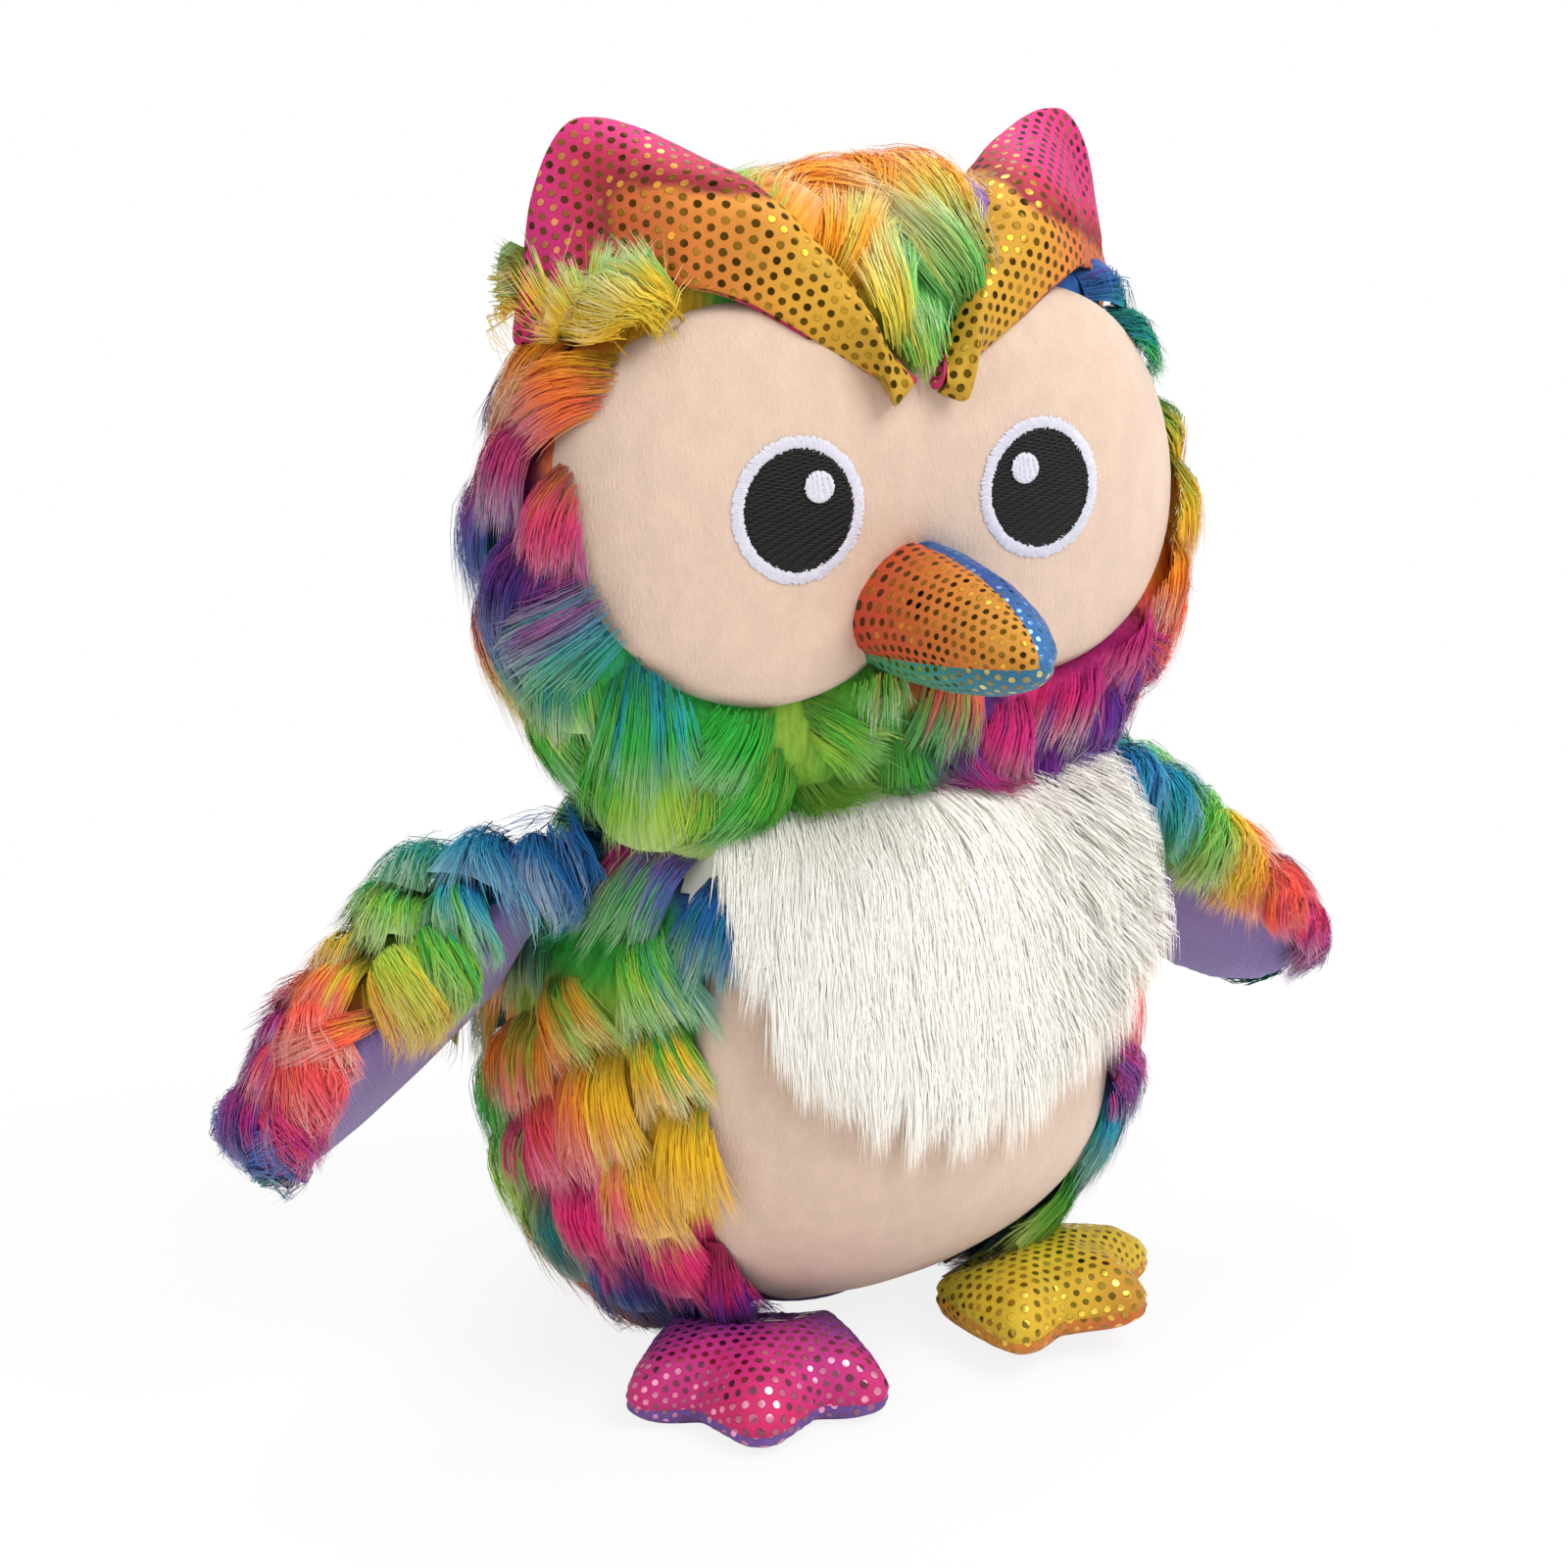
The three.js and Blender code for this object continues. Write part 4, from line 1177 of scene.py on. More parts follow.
class Skin:
    """A closed skin over some nodes, found by its nearest place."""

    def __init__(self, names: Sequence[str], voxel: float, smoothing: int, level: float) -> None:
        """Makes the skin.

        Args:
            names: The nodes.
            voxel: Size of its faces.
            smoothing: How often it is relaxed.
            level: How far it lies inside the nodes.
        """
        mesh = remeshed(names, voxel, smoothing)
        bmesh.ops.triangulate(mesh, faces=mesh.faces)
        mesh.normal_update()
        normals = np.array([vertex.normal for vertex in mesh.verts])
        points, faces = arrays_of(mesh)
        self.whole = Patch(points - normals * level, normals, faces[0])
        self.tree = BVHTree.FromPolygons(self.whole.points.tolist(), faces[0].tolist())

    def settle(self, points: Array, heights: Array) -> tuple[Array, Array]:
        """Lays points at heights above the skin, and gives its normals there."""
        found = [self.tree.find_nearest(point)[:3:2] for point in points.tolist()]
        places = np.array([place for place, _ in found])
        corners = self.whole.triangles[[face for _, face in found]]
        a, b, c = (self.whole.points[corners[:, i]] for i in range(3))
        whole = np.cross(b - a, c - a)
        size = np.maximum((whole * whole).sum(1), 1e-24)
        v = (np.cross(places - a, c - a) * whole).sum(1) / size
        w = (np.cross(b - a, places - a) * whole).sum(1) / size
        shares = np.stack([1 - v - w, v, w], -1)[..., None]
        normals = unit((self.whole.normals[corners] * shares).sum(1))
        return places + normals * heights[:, None], normals


def tuft_tops(name: str, form: Form) -> Array:
    """Finds the tops of the tufts in a CAD cover's relief.

    Args:
        name: The cover's node.
        form: The surface under it.

    Returns:
        The vertices on the outside that are well above all those round them.
    """
    mesh = merged([name])
    mesh.verts.index_update()
    heights = form.height_of(np.array([vertex.co for vertex in mesh.verts]))
    tops = []
    for vertex in mesh.verts:
        near = [heights[edge.other_vert(vertex).index] for edge in vertex.link_edges]
        if heights[vertex.index] > max(near) + 0.8 * MM and heights[vertex.index] > 4 * MM:
            tops.append(tuple(vertex.co))
    mesh.free()
    LOG.info("%s has %d tuft tops", name, len(tops))
    return np.array(tops)


# Pieces that follow the CAD meshes


def merged(names: Sequence[str]) -> BMesh:
    """Copies the meshes of some CAD nodes into one.

    Args:
        names: The nodes.

    Returns:
        The mesh, with its vertices welded.
    """
    mesh = bmesh.new()
    for name in names:
        mesh.from_mesh(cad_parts[name].data)
    bmesh.ops.remove_doubles(mesh, verts=mesh.verts, dist=0.01 * MM)
    return mesh


def modified(mesh: BMesh, kind: str, **settings: object) -> BMesh:
    """Applies one modifier to a mesh.

    Args:
        mesh: The mesh, which is freed.
        kind: The modifier's type.
        **settings: Its properties.

    Returns:
        The new mesh.
    """
    data = bpy.data.meshes.new("work")
    mesh.to_mesh(data)
    mesh.free()
    work = bpy.data.objects.new("work", data)
    bpy.context.scene.collection.objects.link(work)
    modifier = work.modifiers.new("step", kind)
    for key, value in settings.items():
        setattr(modifier, key, value)
    graph = bpy.context.evaluated_depsgraph_get()
    result = bmesh.new()
    result.from_mesh(work.evaluated_get(graph).data)
    bpy.data.objects.remove(work)
    bpy.data.meshes.remove(data)
    return result


def remeshed(names: Sequence[str], voxel: float, smoothing: int) -> BMesh:
    """Makes one even closed skin over some nodes.

    Args:
        names: The nodes.
        voxel: Size of the new faces.
        smoothing: How often the skin is relaxed.

    Returns:
        The skin.
    """
    skin = modified(merged(names), "REMESH", mode="VOXEL", voxel_size=voxel)
    skin = largest_island(skin)
    for _ in range(smoothing):
        bmesh.ops.smooth_vert(
            skin, verts=skin.verts, factor=0.5, use_axis_x=True, use_axis_y=True, use_axis_z=True
        )
    return skin


def largest_island(mesh: BMesh) -> BMesh:
    """Keeps the connected part of a mesh that has the most vertices.

    Args:
        mesh: The mesh.

    Returns:
        The same mesh, without its other parts.
    """
    unseen = set(mesh.verts)
    best: set[bmesh.types.BMVert] = set()
    while unseen:
        found = {unseen.pop()}
        edge_of_found = list(found)
        while edge_of_found:
            near = {e.other_vert(v) for v in edge_of_found for e in v.link_edges}
            edge_of_found = list(near - found)
            found |= near
        unseen -= found
        best = max(best, found, key=len)
    bmesh.ops.delete(mesh, geom=[v for v in mesh.verts if v not in best], context="VERTS")
    return mesh


def half_of(mesh: BMesh, place: Vector, normal: Vector) -> BMesh:
    """Copies the part of a mesh behind a plane.

    Args:
        mesh: The mesh, which stays as it is.
        place: A point of the plane.
        normal: The side that is cut off.

    Returns:
        The part that is left.
    """
    part = mesh.copy()
    geometry = part.verts[:] + part.edges[:] + part.faces[:]
    bmesh.ops.bisect_plane(
        part, geom=geometry, dist=1e-7, plane_co=place, plane_no=normal, clear_outer=True
    )
    return part


def arrays_of(mesh: BMesh) -> tuple[Array, list[Array]]:
    """The vertices and faces of a mesh, which is freed.

    Args:
        mesh: The mesh.

    Returns:
        The points, and the faces in groups of one size.
    """
    mesh.verts.index_update()
    points = np.array([v.co for v in mesh.verts])
    groups: dict[int, list[list[int]]] = {}
    for face in mesh.faces:
        groups.setdefault(len(face.verts), []).append([v.index for v in face.verts])
    mesh.free()
    return points, [np.array(group) for group in groups.values()]


def flattened(mesh: BMesh, facing: Vector | None = None) -> Array:
    """Lays a panel out flat with little stretch.

    Args:
        mesh: The panel.
        facing: For a closed panel, the way its outer side faces.

    Returns:
        The flat place of each vertex, with a third axis of zero.
    """
    outer = set()
    for face in mesh.faces:
        if facing is None or face.normal.dot(facing) > 0:
            outer.add(face.index)
    for edge in mesh.edges:
        edge.seam = len({face.index in outer for face in edge.link_faces}) > 1
    data = bpy.data.meshes.new("flat")
    mesh.to_mesh(data)
    carrier = bpy.data.objects.new("flat", data)
    bpy.context.scene.collection.objects.link(carrier)
    bpy.context.view_layer.objects.active = carrier
    bpy.ops.object.mode_set(mode="EDIT")
    bpy.ops.mesh.select_all(action="SELECT")
    bpy.ops.uv.unwrap(method="CONFORMAL", margin=0.01)
    bpy.ops.object.mode_set(mode="OBJECT")
    lay = np.empty(len(data.loops) * 2)
    data.uv_layers.active.data.foreach_get("uv", lay)
    lay = lay.reshape(-1, 2)
    flat = np.zeros((len(data.vertices), 3))
    whole = drawn = 0.0
    for inner in (True, False):
        for polygon in data.polygons:
            if (polygon.index not in outer) == inner:
                corners = lay[list(polygon.loop_indices)]
                flat[list(polygon.vertices), :2] = corners
                if not inner:
                    ahead = np.roll(corners, -1, axis=0)
                    twice = corners[:, 0] * ahead[:, 1] - ahead[:, 0] * corners[:, 1]
                    drawn += abs(twice.sum()) / 2
                    whole += polygon.area
    bpy.data.objects.remove(carrier)
    bpy.data.meshes.remove(data)
    return flat * math.sqrt(whole / drawn)


def rainbow(shares: Array, stops: Sequence[tuple[float, str]]) -> Array:
    """Colours along a row of colour stops.

    Args:
        shares: Where each colour is read.
        stops: Places and sRGB colours in rising order.

    Returns:
        Linear colours.
    """
    places = [place for place, _ in stops]
    colours = np.array([linear(colour) for _, colour in stops])
    return np.stack([np.interp(shares, places, colours[:, i]) for i in range(3)], -1)


@dataclass(frozen=True)
class Oval:
    """An upright ellipse seen from the front."""

    across: float
    height: float
    half_width: float
    half_height: float

    def depth(self, points: Array) -> Array:
        """How far inside the ellipse's edge places on the front are, or far outside behind.

        Args:
            points: The places.

        Returns:
            Distances, below zero outside.
        """
        x = (points[..., 0] - self.across) / self.half_width
        z = (points[..., 2] - self.height) / self.half_height
        depth = (1 - np.hypot(x, z)) * min(self.half_width, self.half_height)
        return np.where(points[..., 1] < 0, depth, -1.0)


class Wardrobe:
    """The finishes that several pieces share."""

    def __init__(self) -> None:
        """Makes the materials."""
        self.fur = FurFabric("rainbow_fur").material()
        self.white_fur = FurFabric("white_fur", frost=0.4, painted_root_brightness=0.9).material()
        self.minky = MinkyFabric("cream_minky", "#dcc0ab").material()
        self.tricot = TricotFabric("purple_tricot", "#8a74b4").material()
        self.gold_foil = FoilFabric("gold_foil", "#e8c95a").material()
        self.dark_foil = FoilFabric("dark_foil", "#c9a03c", dull=0.85).material()
        self.pink_foil = FoilFabric("pink_foil", "#f0a2b4").material()
        self.blue_foil = FoilFabric("blue_foil", "#8ab8e8").material()
        self.black_thread = ThreadFinish("black_thread", "#0b0908", 0.0).material()
        self.white_thread = ThreadFinish("white_thread", "#dcdae6").material()
        self.filling = PlainFabric("filling", "#f2f2f0").material()


# Sub-assemblies


@dataclass
class Embroidery:
    """Stitches that lie on a form, seen from the front."""

    ground: Form
    level: float
    thread: float = 0.42 * MM
    lift: float = 0.5 * MM

    def stitches(self, ends: Array, name: str, material: Material) -> Object:
        """Lays one thread from each start to its end.

        Args:
            ends: For each stitch its start and end, as across and height.
            name: The object's name.
            material: What it wears.

        Returns:
            The object.
        """
        long, wide = 6, 4
        t = np.linspace(0, 1, long)[None, :, None]
        s = np.linspace(-1, 1, wide)[None, None, :]
        start, end = ends[:, 0][:, None, None], ends[:, 1][:, None, None]
        middle = start + (end - start) * t[..., None]
        run = end - start
        normal = np.stack([-run[..., 1], run[..., 0]], -1)
        normal = normal / np.maximum(np.linalg.norm(normal, axis=-1, keepdims=True), 1e-9)
        flat = middle + normal * (s[..., None] * self.thread * 0.56)
        arch = np.sin(np.clip(t, 0.02, 0.98) * math.pi) ** 0.35
        height = self.lift * arch * (0.35 + 0.65 * np.sqrt(1 - 0.9 * s**2))
        points = self.ground.front(flat[..., 0], flat[..., 1], self.level + height)
        index = np.arange(points[..., 0].size).reshape(points.shape[:3])
        a, b = index[:, :-1, :-1], index[:, :-1, 1:]
        c, d = index[:, 1:, 1:], index[:, 1:, :-1]
        faces = np.stack([a, b, c, d], -1).reshape(-1, 4)
        return mesh_object(name, points.reshape(-1, 3), [faces], material)


@dataclass
class Eye:
    """One embroidered eye: a satin ring, a stitched pupil and a glint."""

    side: str
    across: float = 26.7 * MM
    height: float = 183.3 * MM
    ring_radius: float = 13.7 * MM
    pupil_radius: float = 11.6 * MM
    glint_radius: float = 3.0 * MM
    glint_inward: float = 4.0 * MM
    glint_up: float = 4.2 * MM

    def build(self, ground: Form, level: float, wear: Wardrobe) -> None:
        """Makes the threads.

        Args:
            ground: The head's surface.
            level: The face panel's top above it.
            wear: The finishes.
        """
        sign = 1 if self.side == "left" else -1
        middle = np.array([sign * self.across, self.height])
        rng = np.random.default_rng(5 if sign > 0 else 6)
        sewn = Embroidery(ground, level)
        ring = self._ring(middle, rng)
        disc = self._rows(middle, self.pupil_radius, 0, rng)
        made = {
            "white": sewn.stitches(ring, f"eye_ring_{self.side}", wear.white_thread),
            "pupil": sewn.stitches(disc, f"eye_pupil_thread_{self.side}", wear.black_thread),
        }
        shine = middle + np.array([-sign * self.glint_inward, self.glint_up])
        raised = Embroidery(ground, level + 0.45 * MM, thread=0.5 * MM)
        rows = self._rows(shine, self.glint_radius, math.radians(75), rng)
        made["glint"] = raised.stitches(rows, f"eye_glint_thread_{self.side}", wear.white_thread)
        for part, piece in made.items():
            assign(piece, "head", f"eye_{part}_{self.side}")

    def _ring(self, middle: Array, rng: np.random.Generator) -> Array:
        count = 210
        turns = np.arange(count) * 2 * math.pi / count
        slant = 0.05
        inner = self.pupil_radius - rng.uniform(0.1, 0.7, count) * MM
        outer = self.ring_radius + rng.uniform(-0.15, 0.35, count) * MM
        starts = np.stack([np.cos(turns), np.sin(turns)], -1) * inner[:, None]
        ends = np.stack([np.cos(turns + slant), np.sin(turns + slant)], -1) * outer[:, None]
        return np.stack([middle + starts, middle + ends], 1)

    def _rows(self, middle: Array, radius: float, slant: float, rng: np.random.Generator) -> Array:
        pitch, stitch = 0.4 * MM, 3.4 * MM
        ends = []
        for row, offset in enumerate(np.arange(-radius, radius, pitch) + pitch / 2):
            half = math.sqrt(max(radius**2 - offset**2, 0))
            cuts = np.arange(-half, half, stitch) + (row % 3) / 3 * stitch
            cuts = np.unique(np.clip(np.concatenate([[-half], cuts, [half]]), -half, half))
            for low, high in zip(cuts[:-1], cuts[1:]):
                if high - low > 0.3 * MM:
                    ends.append([(low, offset), (high, offset)])
        flat = np.array(ends)
        flat[..., 1] += rng.normal(0, 0.02 * MM, flat.shape[:2])
        turn = np.array([[math.cos(slant), math.sin(slant)], [-math.sin(slant), math.cos(slant)]])
        return middle + flat @ turn


# Each dye's dabs: azimuth from the front in degrees, towards the owl's left, and height in mm
HEAD_DABS: dict[Dye, tuple[tuple[int, int], ...]] = {
    Dye.GREEN: ((-92, 230), (-84, 225), (-62, 224), (-98, 212), (-68, 162), (-72, 151),
        (-71, 140), (-62, 146), (-84, 138), (-53, 141), (-52, 132), (-33, 137), (-14, 139),
        (2, 134), (74, 198), (4, 221), (104, 170), (172, 164), (-144, 164)),
    Dye.LIME: ((-95, 219), (-79, 147), (-68, 127), (-44, 136), (-22, 133), (72, 186), (-112, 232),
        (144, 142)),
    Dye.YELLOW: ((-85, 219), (-71, 221), (-70, 212), (-72, 206), (-98, 148), (77, 174),
        (-32, 236), (-22, 229), (-8, 237), (22, 234), (-18, 222), (100, 244), (150, 236),
        (112, 146), (-178, 140), (-152, 138)),
    Dye.MINT: ((-76, 226), (8, 231), (-2, 226)),
    Dye.ORANGE: ((-80, 214), (-89, 209), (-79, 204), (-98, 197), (-78, 192), (-94, 158),
        (78, 162), (-14, 241), (20, 240), (-36, 230), (-24, 236), (-50, 242), (-150, 236),
        (-126, 142)),
    Dye.TEAL: ((-104, 204), (-80, 157), (74, 209), (138, 168), (-112, 168)),
    Dye.CORAL: ((-76, 200), (16, 146), (74, 150), (44, 243), (-118, 214)),
    Dye.PINK: ((-71, 195), (-73, 186), (-76, 180), (42, 144), (46, 134), (-100, 243), (180, 243),
        (122, 214), (-158, 214)),
    Dye.MAGENTA: ((-88, 191), (-75, 173), (30, 128), (60, 146), (160, 212)),
    Dye.PURPLE: ((-86, 183), (-70, 177), (18, 132), (54, 130), (68, 138), (60, 229), (80, 224),
        (112, 226), (140, 192)),
    Dye.INDIGO: ((-83, 176), (-79, 168), (30, 140), (-112, 190)),
    Dye.BLUE: ((-93, 168), (-86, 161), (70, 219), (108, 194), (-146, 190)),
    Dye.CYAN: ((-71, 168), (-64, 153), (176, 190)),
}
BODY_DABS: dict[Dye, tuple[tuple[int, int], ...]] = {
    Dye.MAGENTA: ((-72, 117), (-62, 35), (74, 115), (142, 84), (174, 58)),
    Dye.PURPLE: ((-58, 116), (-48, 21), (-30, 12), (44, 56), (66, 38), (172, 104), (-150, 34)),
    Dye.PINK: ((-66, 113), (-86, 56), (-76, 47), (-66, 44), (-50, 34), (48, 63), (70, 52),
        (144, 106), (178, 34)),
    Dye.TEAL: ((-82, 110), (-49, 92), (-84, 28), (43, 42), (92, 44), (-124, 60)),
    Dye.BLUE: ((-52, 108), (-46, 101), (-74, 23), (60, 24), (-152, 104), (-154, 58), (-122, 38)),
    Dye.GREEN: ((-66, 101), (-80, 94), (-62, 91), (-50, 81), (-97, 48), (42, 35), (62, 100),
        (84, 90), (86, 26), (-124, 104), (-150, 14)),
    Dye.LIME: ((-60, 83), (-84, 76), (-98, 34), (38, 27), (88, 72), (118, 32), (-120, 82)),
    Dye.INDIGO: ((-92, 88), (-60, 25), (176, 80)),
    Dye.ORANGE: ((-76, 75), (-94, 66), (-90, 20), (66, 66), (116, 78), (142, 36)),
    Dye.YELLOW: ((-64, 72), (-55, 67), (-54, 56), (-50, 47), (60, 84), (20, 10), (112, 56),
        (110, 14)),
    Dye.CORAL: ((-72, 60), (48, 72), (112, 102), (146, 60)),
    Dye.CYAN: ((44, 49), (-150, 82), (160, 14)),
}


def dabs_on(
    form: Form, spots: dict[Dye, tuple[tuple[int, int], ...]], axis: float
) -> list[tuple[Dye, Array]]:
    """Puts dyes on a surface.

    Args:
        form: The surface.
        spots: Azimuth and height of each dye's dabs.
        axis: Y of the upright line that the azimuths are measured about.

    Returns:
        Each dab's dye and place.
    """
    return [
        (dye, form.at(turn, height * MM, axis))
        for dye, places in spots.items()
        for turn, height in places
    ]


def away_from_face(places: Array, normals: Array) -> Array:
    """Fur on the head lies away from the face, and a little downwards."""
    lobe = 30 * MM * np.tanh(places[:, 0] / (12 * MM))
    middle = [lobe, np.full_like(lobe, -60 * MM), np.full_like(lobe, 183 * MM)]
    out = places - np.stack(middle, -1)
    out[:, 1] *= 0.25
    out = unit(out)
    return out - (0.25 + 0.9 * out[:, :1] ** 2) * UP


def dress_fur(strands: Strands, name: str, body: str, material: Material, middle: float) -> None:
    """Makes a coat of fur in four panels: front and back, left and right.

    Args:
        strands: The fibres.
        name: Start of the pieces' names.
        body: What they ride on.
        material: What they wear.
        middle: Y of the seam between front and back.
    """
    left = strands.paths[:, 0, 0] > 0
    front = strands.paths[:, 0, 1] < middle
    for side, mask in (("left", left), ("right", ~left)):
        for face, half in (("front", front), ("back", ~front)):
            piece = strands.chosen(mask & half).mesh(f"{name}_{face}_{side}", material)
            assign(piece, body)


def backing(
    patch: Patch, dye: TieDye, names: tuple[str, str], body: str, wear: Wardrobe
) -> None:
    """Makes the dense wool at the foot of the fibres, in place of a CAD cover, dimmed as painted
    shade.

    Args:
        patch: Its surface.
        dye: Its colours.
        names: The piece's name and the CAD node's.
        body: What it rides on.
        wear: The finishes.
    """
    lumps = Ripple(31, 7 * MM).at(patch.points)[:, None] * 0.5 * MM
    points = patch.points + patch.normals * lumps
    points[:, 2] = np.maximum(points[:, 2], 0.3 * MM)
    # The low share along the fibres and the dimmed dye paint shade deep between the tufts.
    marks = np.tile([0.3, 0.35, 0.1], (len(points), 1))
    vectors = {"fibre": marks, "streak": points / [1.1 * MM, 1.1 * MM, 6 * MM]}
    colours = {"dye": dye.at(points) * 0.85}
    made = mesh_object(names[0], points, [patch.triangles], wear.fur, colours, vectors)
    assign(made, body, names[1])


def wool_under(form: Form, node: str, high: float, depth: Reading) -> Patch:
    """The dense wool of a fur cover, which follows the CAD cover's relief.

    Args:
        form: The surface under the cover.
        node: The cover's node.
        high: The cover's greatest height.
        depth: How far inside the bare panels' seams places are.

    Returns:
        Its surface.
    """
    relief = form.relief_of(node, 3 * MM, high)

    def level(points: Array) -> Array:
        rise = smoothstep(-4 * MM, 4 * MM, -depth(points))
        return rise * (0.8 * relief(points) - 0.6 * MM) - 0.4 * MM

    return form.sheet(level, lambda p: depth(p) < 5 * MM, 2)


def cream_panel(
    form: Form,
    names: tuple[str, str],
    body: str,
    depth: Reading,
    top: float,
    wear: Wardrobe,
) -> None:
    """Makes a cream panel that dips at its seam.

    Args:
        form: The surface that it lies on.
        names: The piece's name and the CAD node's.
        body: What it rides on.
        depth: How far inside its seam places are.
        top: Its height away from the seam.
        wear: The finishes.
    """

    def level(points: Array) -> Array:
        return smoothstep(-3 * MM, 4 * MM, depth(points)) * (top + SEAM_DIP) - SEAM_DIP

    sheet = form.sheet(level, lambda p: depth(p) > -6 * MM)
    sheet.points[:, 2] = np.maximum(sheet.points[:, 2], 0.5 * MM)
    panel = mesh_object(names[0], sheet.points, [sheet.triangles], wear.minky)
    assign(panel, body, names[1])


@dataclass
class Head:
    """The head's fur cover and face panel."""

    root: float = 1.5 * MM
    fur: float = 8 * MM
    minky: float = 3.5 * MM
    neck: float = 121 * MM
    hem: float = 1.2 * MM
    seam: float = -25 * MM
    chin: float = 128 * MM
    chin_clear: float = 11 * MM
    ear_foot: float = 205 * MM
    ear_back: float = 5 * MM
    ear_clear: float = 1.6 * MM
    axis: float = -12 * MM
    tuft_level: float = 219 * MM
    lobe: Oval = Oval(29.8 * MM, 182.9 * MM, 38 * MM, 38.6 * MM)
    middle: Oval = Oval(0, 176 * MM, 24 * MM, 28 * MM)

    def depth(self, points: Array) -> Array:
        """How far inside the face panel's seam each place is."""
        mirrored = points * [-1, 1, 1]
        lobes = np.maximum(self.lobe.depth(points), self.lobe.depth(mirrored))
        return np.maximum(lobes, self.middle.depth(points))

    def build(self, wear: Wardrobe, body: Form) -> None:
        """Makes the pieces.

        Args:
            wear: The finishes.
            body: The body's surface, over which the chin's fur hangs.
        """
        levels = {"head_cover": self.fur, "face_panel": self.minky, "head_stuffing": -0.3 * MM}
        form = Form(levels, (0.0, -21.8 * MM, 171 * MM))
        dye = TieDye(dabs_on(form, HEAD_DABS, self.axis), 11)
        coat = Coat(form, Pile(), dye, 3)

        def keep(places: Array) -> Array:
            return (self.depth(places) < self.hem) & (places[..., 2] > self.neck)

        tops = tuft_tops("head_cover", form)
        fibres = coat.grow(form.patch(self.root), keep, away_from_face, tops)
        coat.fans(keep, "head_tufts", "head", wear.fur)
        fibres = fibres.chosen(self._off_ears(fibres.paths))
        low = fibres.paths[..., 2] < self.chin
        fibres.paths[low] = body.cleared(fibres.paths[low], self.chin_clear)
        dress_fur(fibres, "head_fur", "head", wear.fur, self.seam)
        self._ear_tufts(wear)
        wool = wool_under(form, "head_cover", self.fur, self.depth)
        backing(wool, dye, ("head_wool", "head_cover"), "head", wear)
        cream_panel(form, ("face_minky", "face_panel"), "head", self.depth, self.minky, wear)
        for side in ("left", "right"):
            Eye(side).build(form, self.minky, wear)
            Ear(side).build(wear)
        Beak().build(wear)

    def _off_ears(self, paths: Array) -> Array:
        """Which fibres don't run into the front of an ear."""
        free = np.ones(len(paths), bool)
        tips = paths[:, -1]
        near = np.flatnonzero((tips[:, 2] > self.ear_foot) & (tips[:, 1] < self.ear_back))
        for side in ("left", "right"):
            tree = tree_of(f"ear_front_{side}")
            for index in near:
                for point in paths[index, 1:].tolist():
                    if tree.find_nearest(point, self.ear_clear)[0] is not None:
                        free[index] = False
                        break
        return free

    def _ear_tufts(self, wear: Wardrobe) -> None:
        """Grows the tufts that stand up over the foot of the right ear."""
        skin = Skin(["head_cover", "ear_front_left", "ear_front_right"], 1.8 * MM, 3, 0)
        pile = Pile(
            spacing=5 * MM,
            foot=4 * MM,
            reach=11 * MM,
            narrow=4 * MM,
            wide=7 * MM,
            rise=6 * MM,
            fibres=200,
        )
        spots = [
            (Dye.GREEN, -63, -12, 230), (Dye.LIME, -57, -20, 229), (Dye.YELLOW, -62, -12, 221),
            (Dye.MINT, -50, -27, 230), (Dye.YELLOW, -54, -24, 222), (Dye.YELLOW, -48, -30, 223),
            (Dye.GREEN, -43, -33, 228),
        ]
        shades = [(colour, (x * MM, y * MM, z * MM)) for colour, x, y, z in spots]
        coat = Coat(skin, pile, TieDye(shades, 14), 9)

        def keep(places: Array) -> Array:
            x, y, z = places[..., 0], places[..., 1], places[..., 2]
            level = (abs(z - self.tuft_level) < 4.5 * MM) & (y < -4 * MM)
            return level & (x < -45 * MM) & (x > -62.5 * MM) & (self.depth(places) < 1 * MM)

        def flow(places: Array, normals: Array) -> Array:
            return away_from_face(places, normals) + 0.5 * UP

        strands = coat.grow(skin.whole, keep, flow, np.empty((0, 3)))
        assign(strands.mesh("ear_foot_fur", wear.fur), "head")
        coat.fans(keep, "ear_foot_tufts", "head", wear.fur)


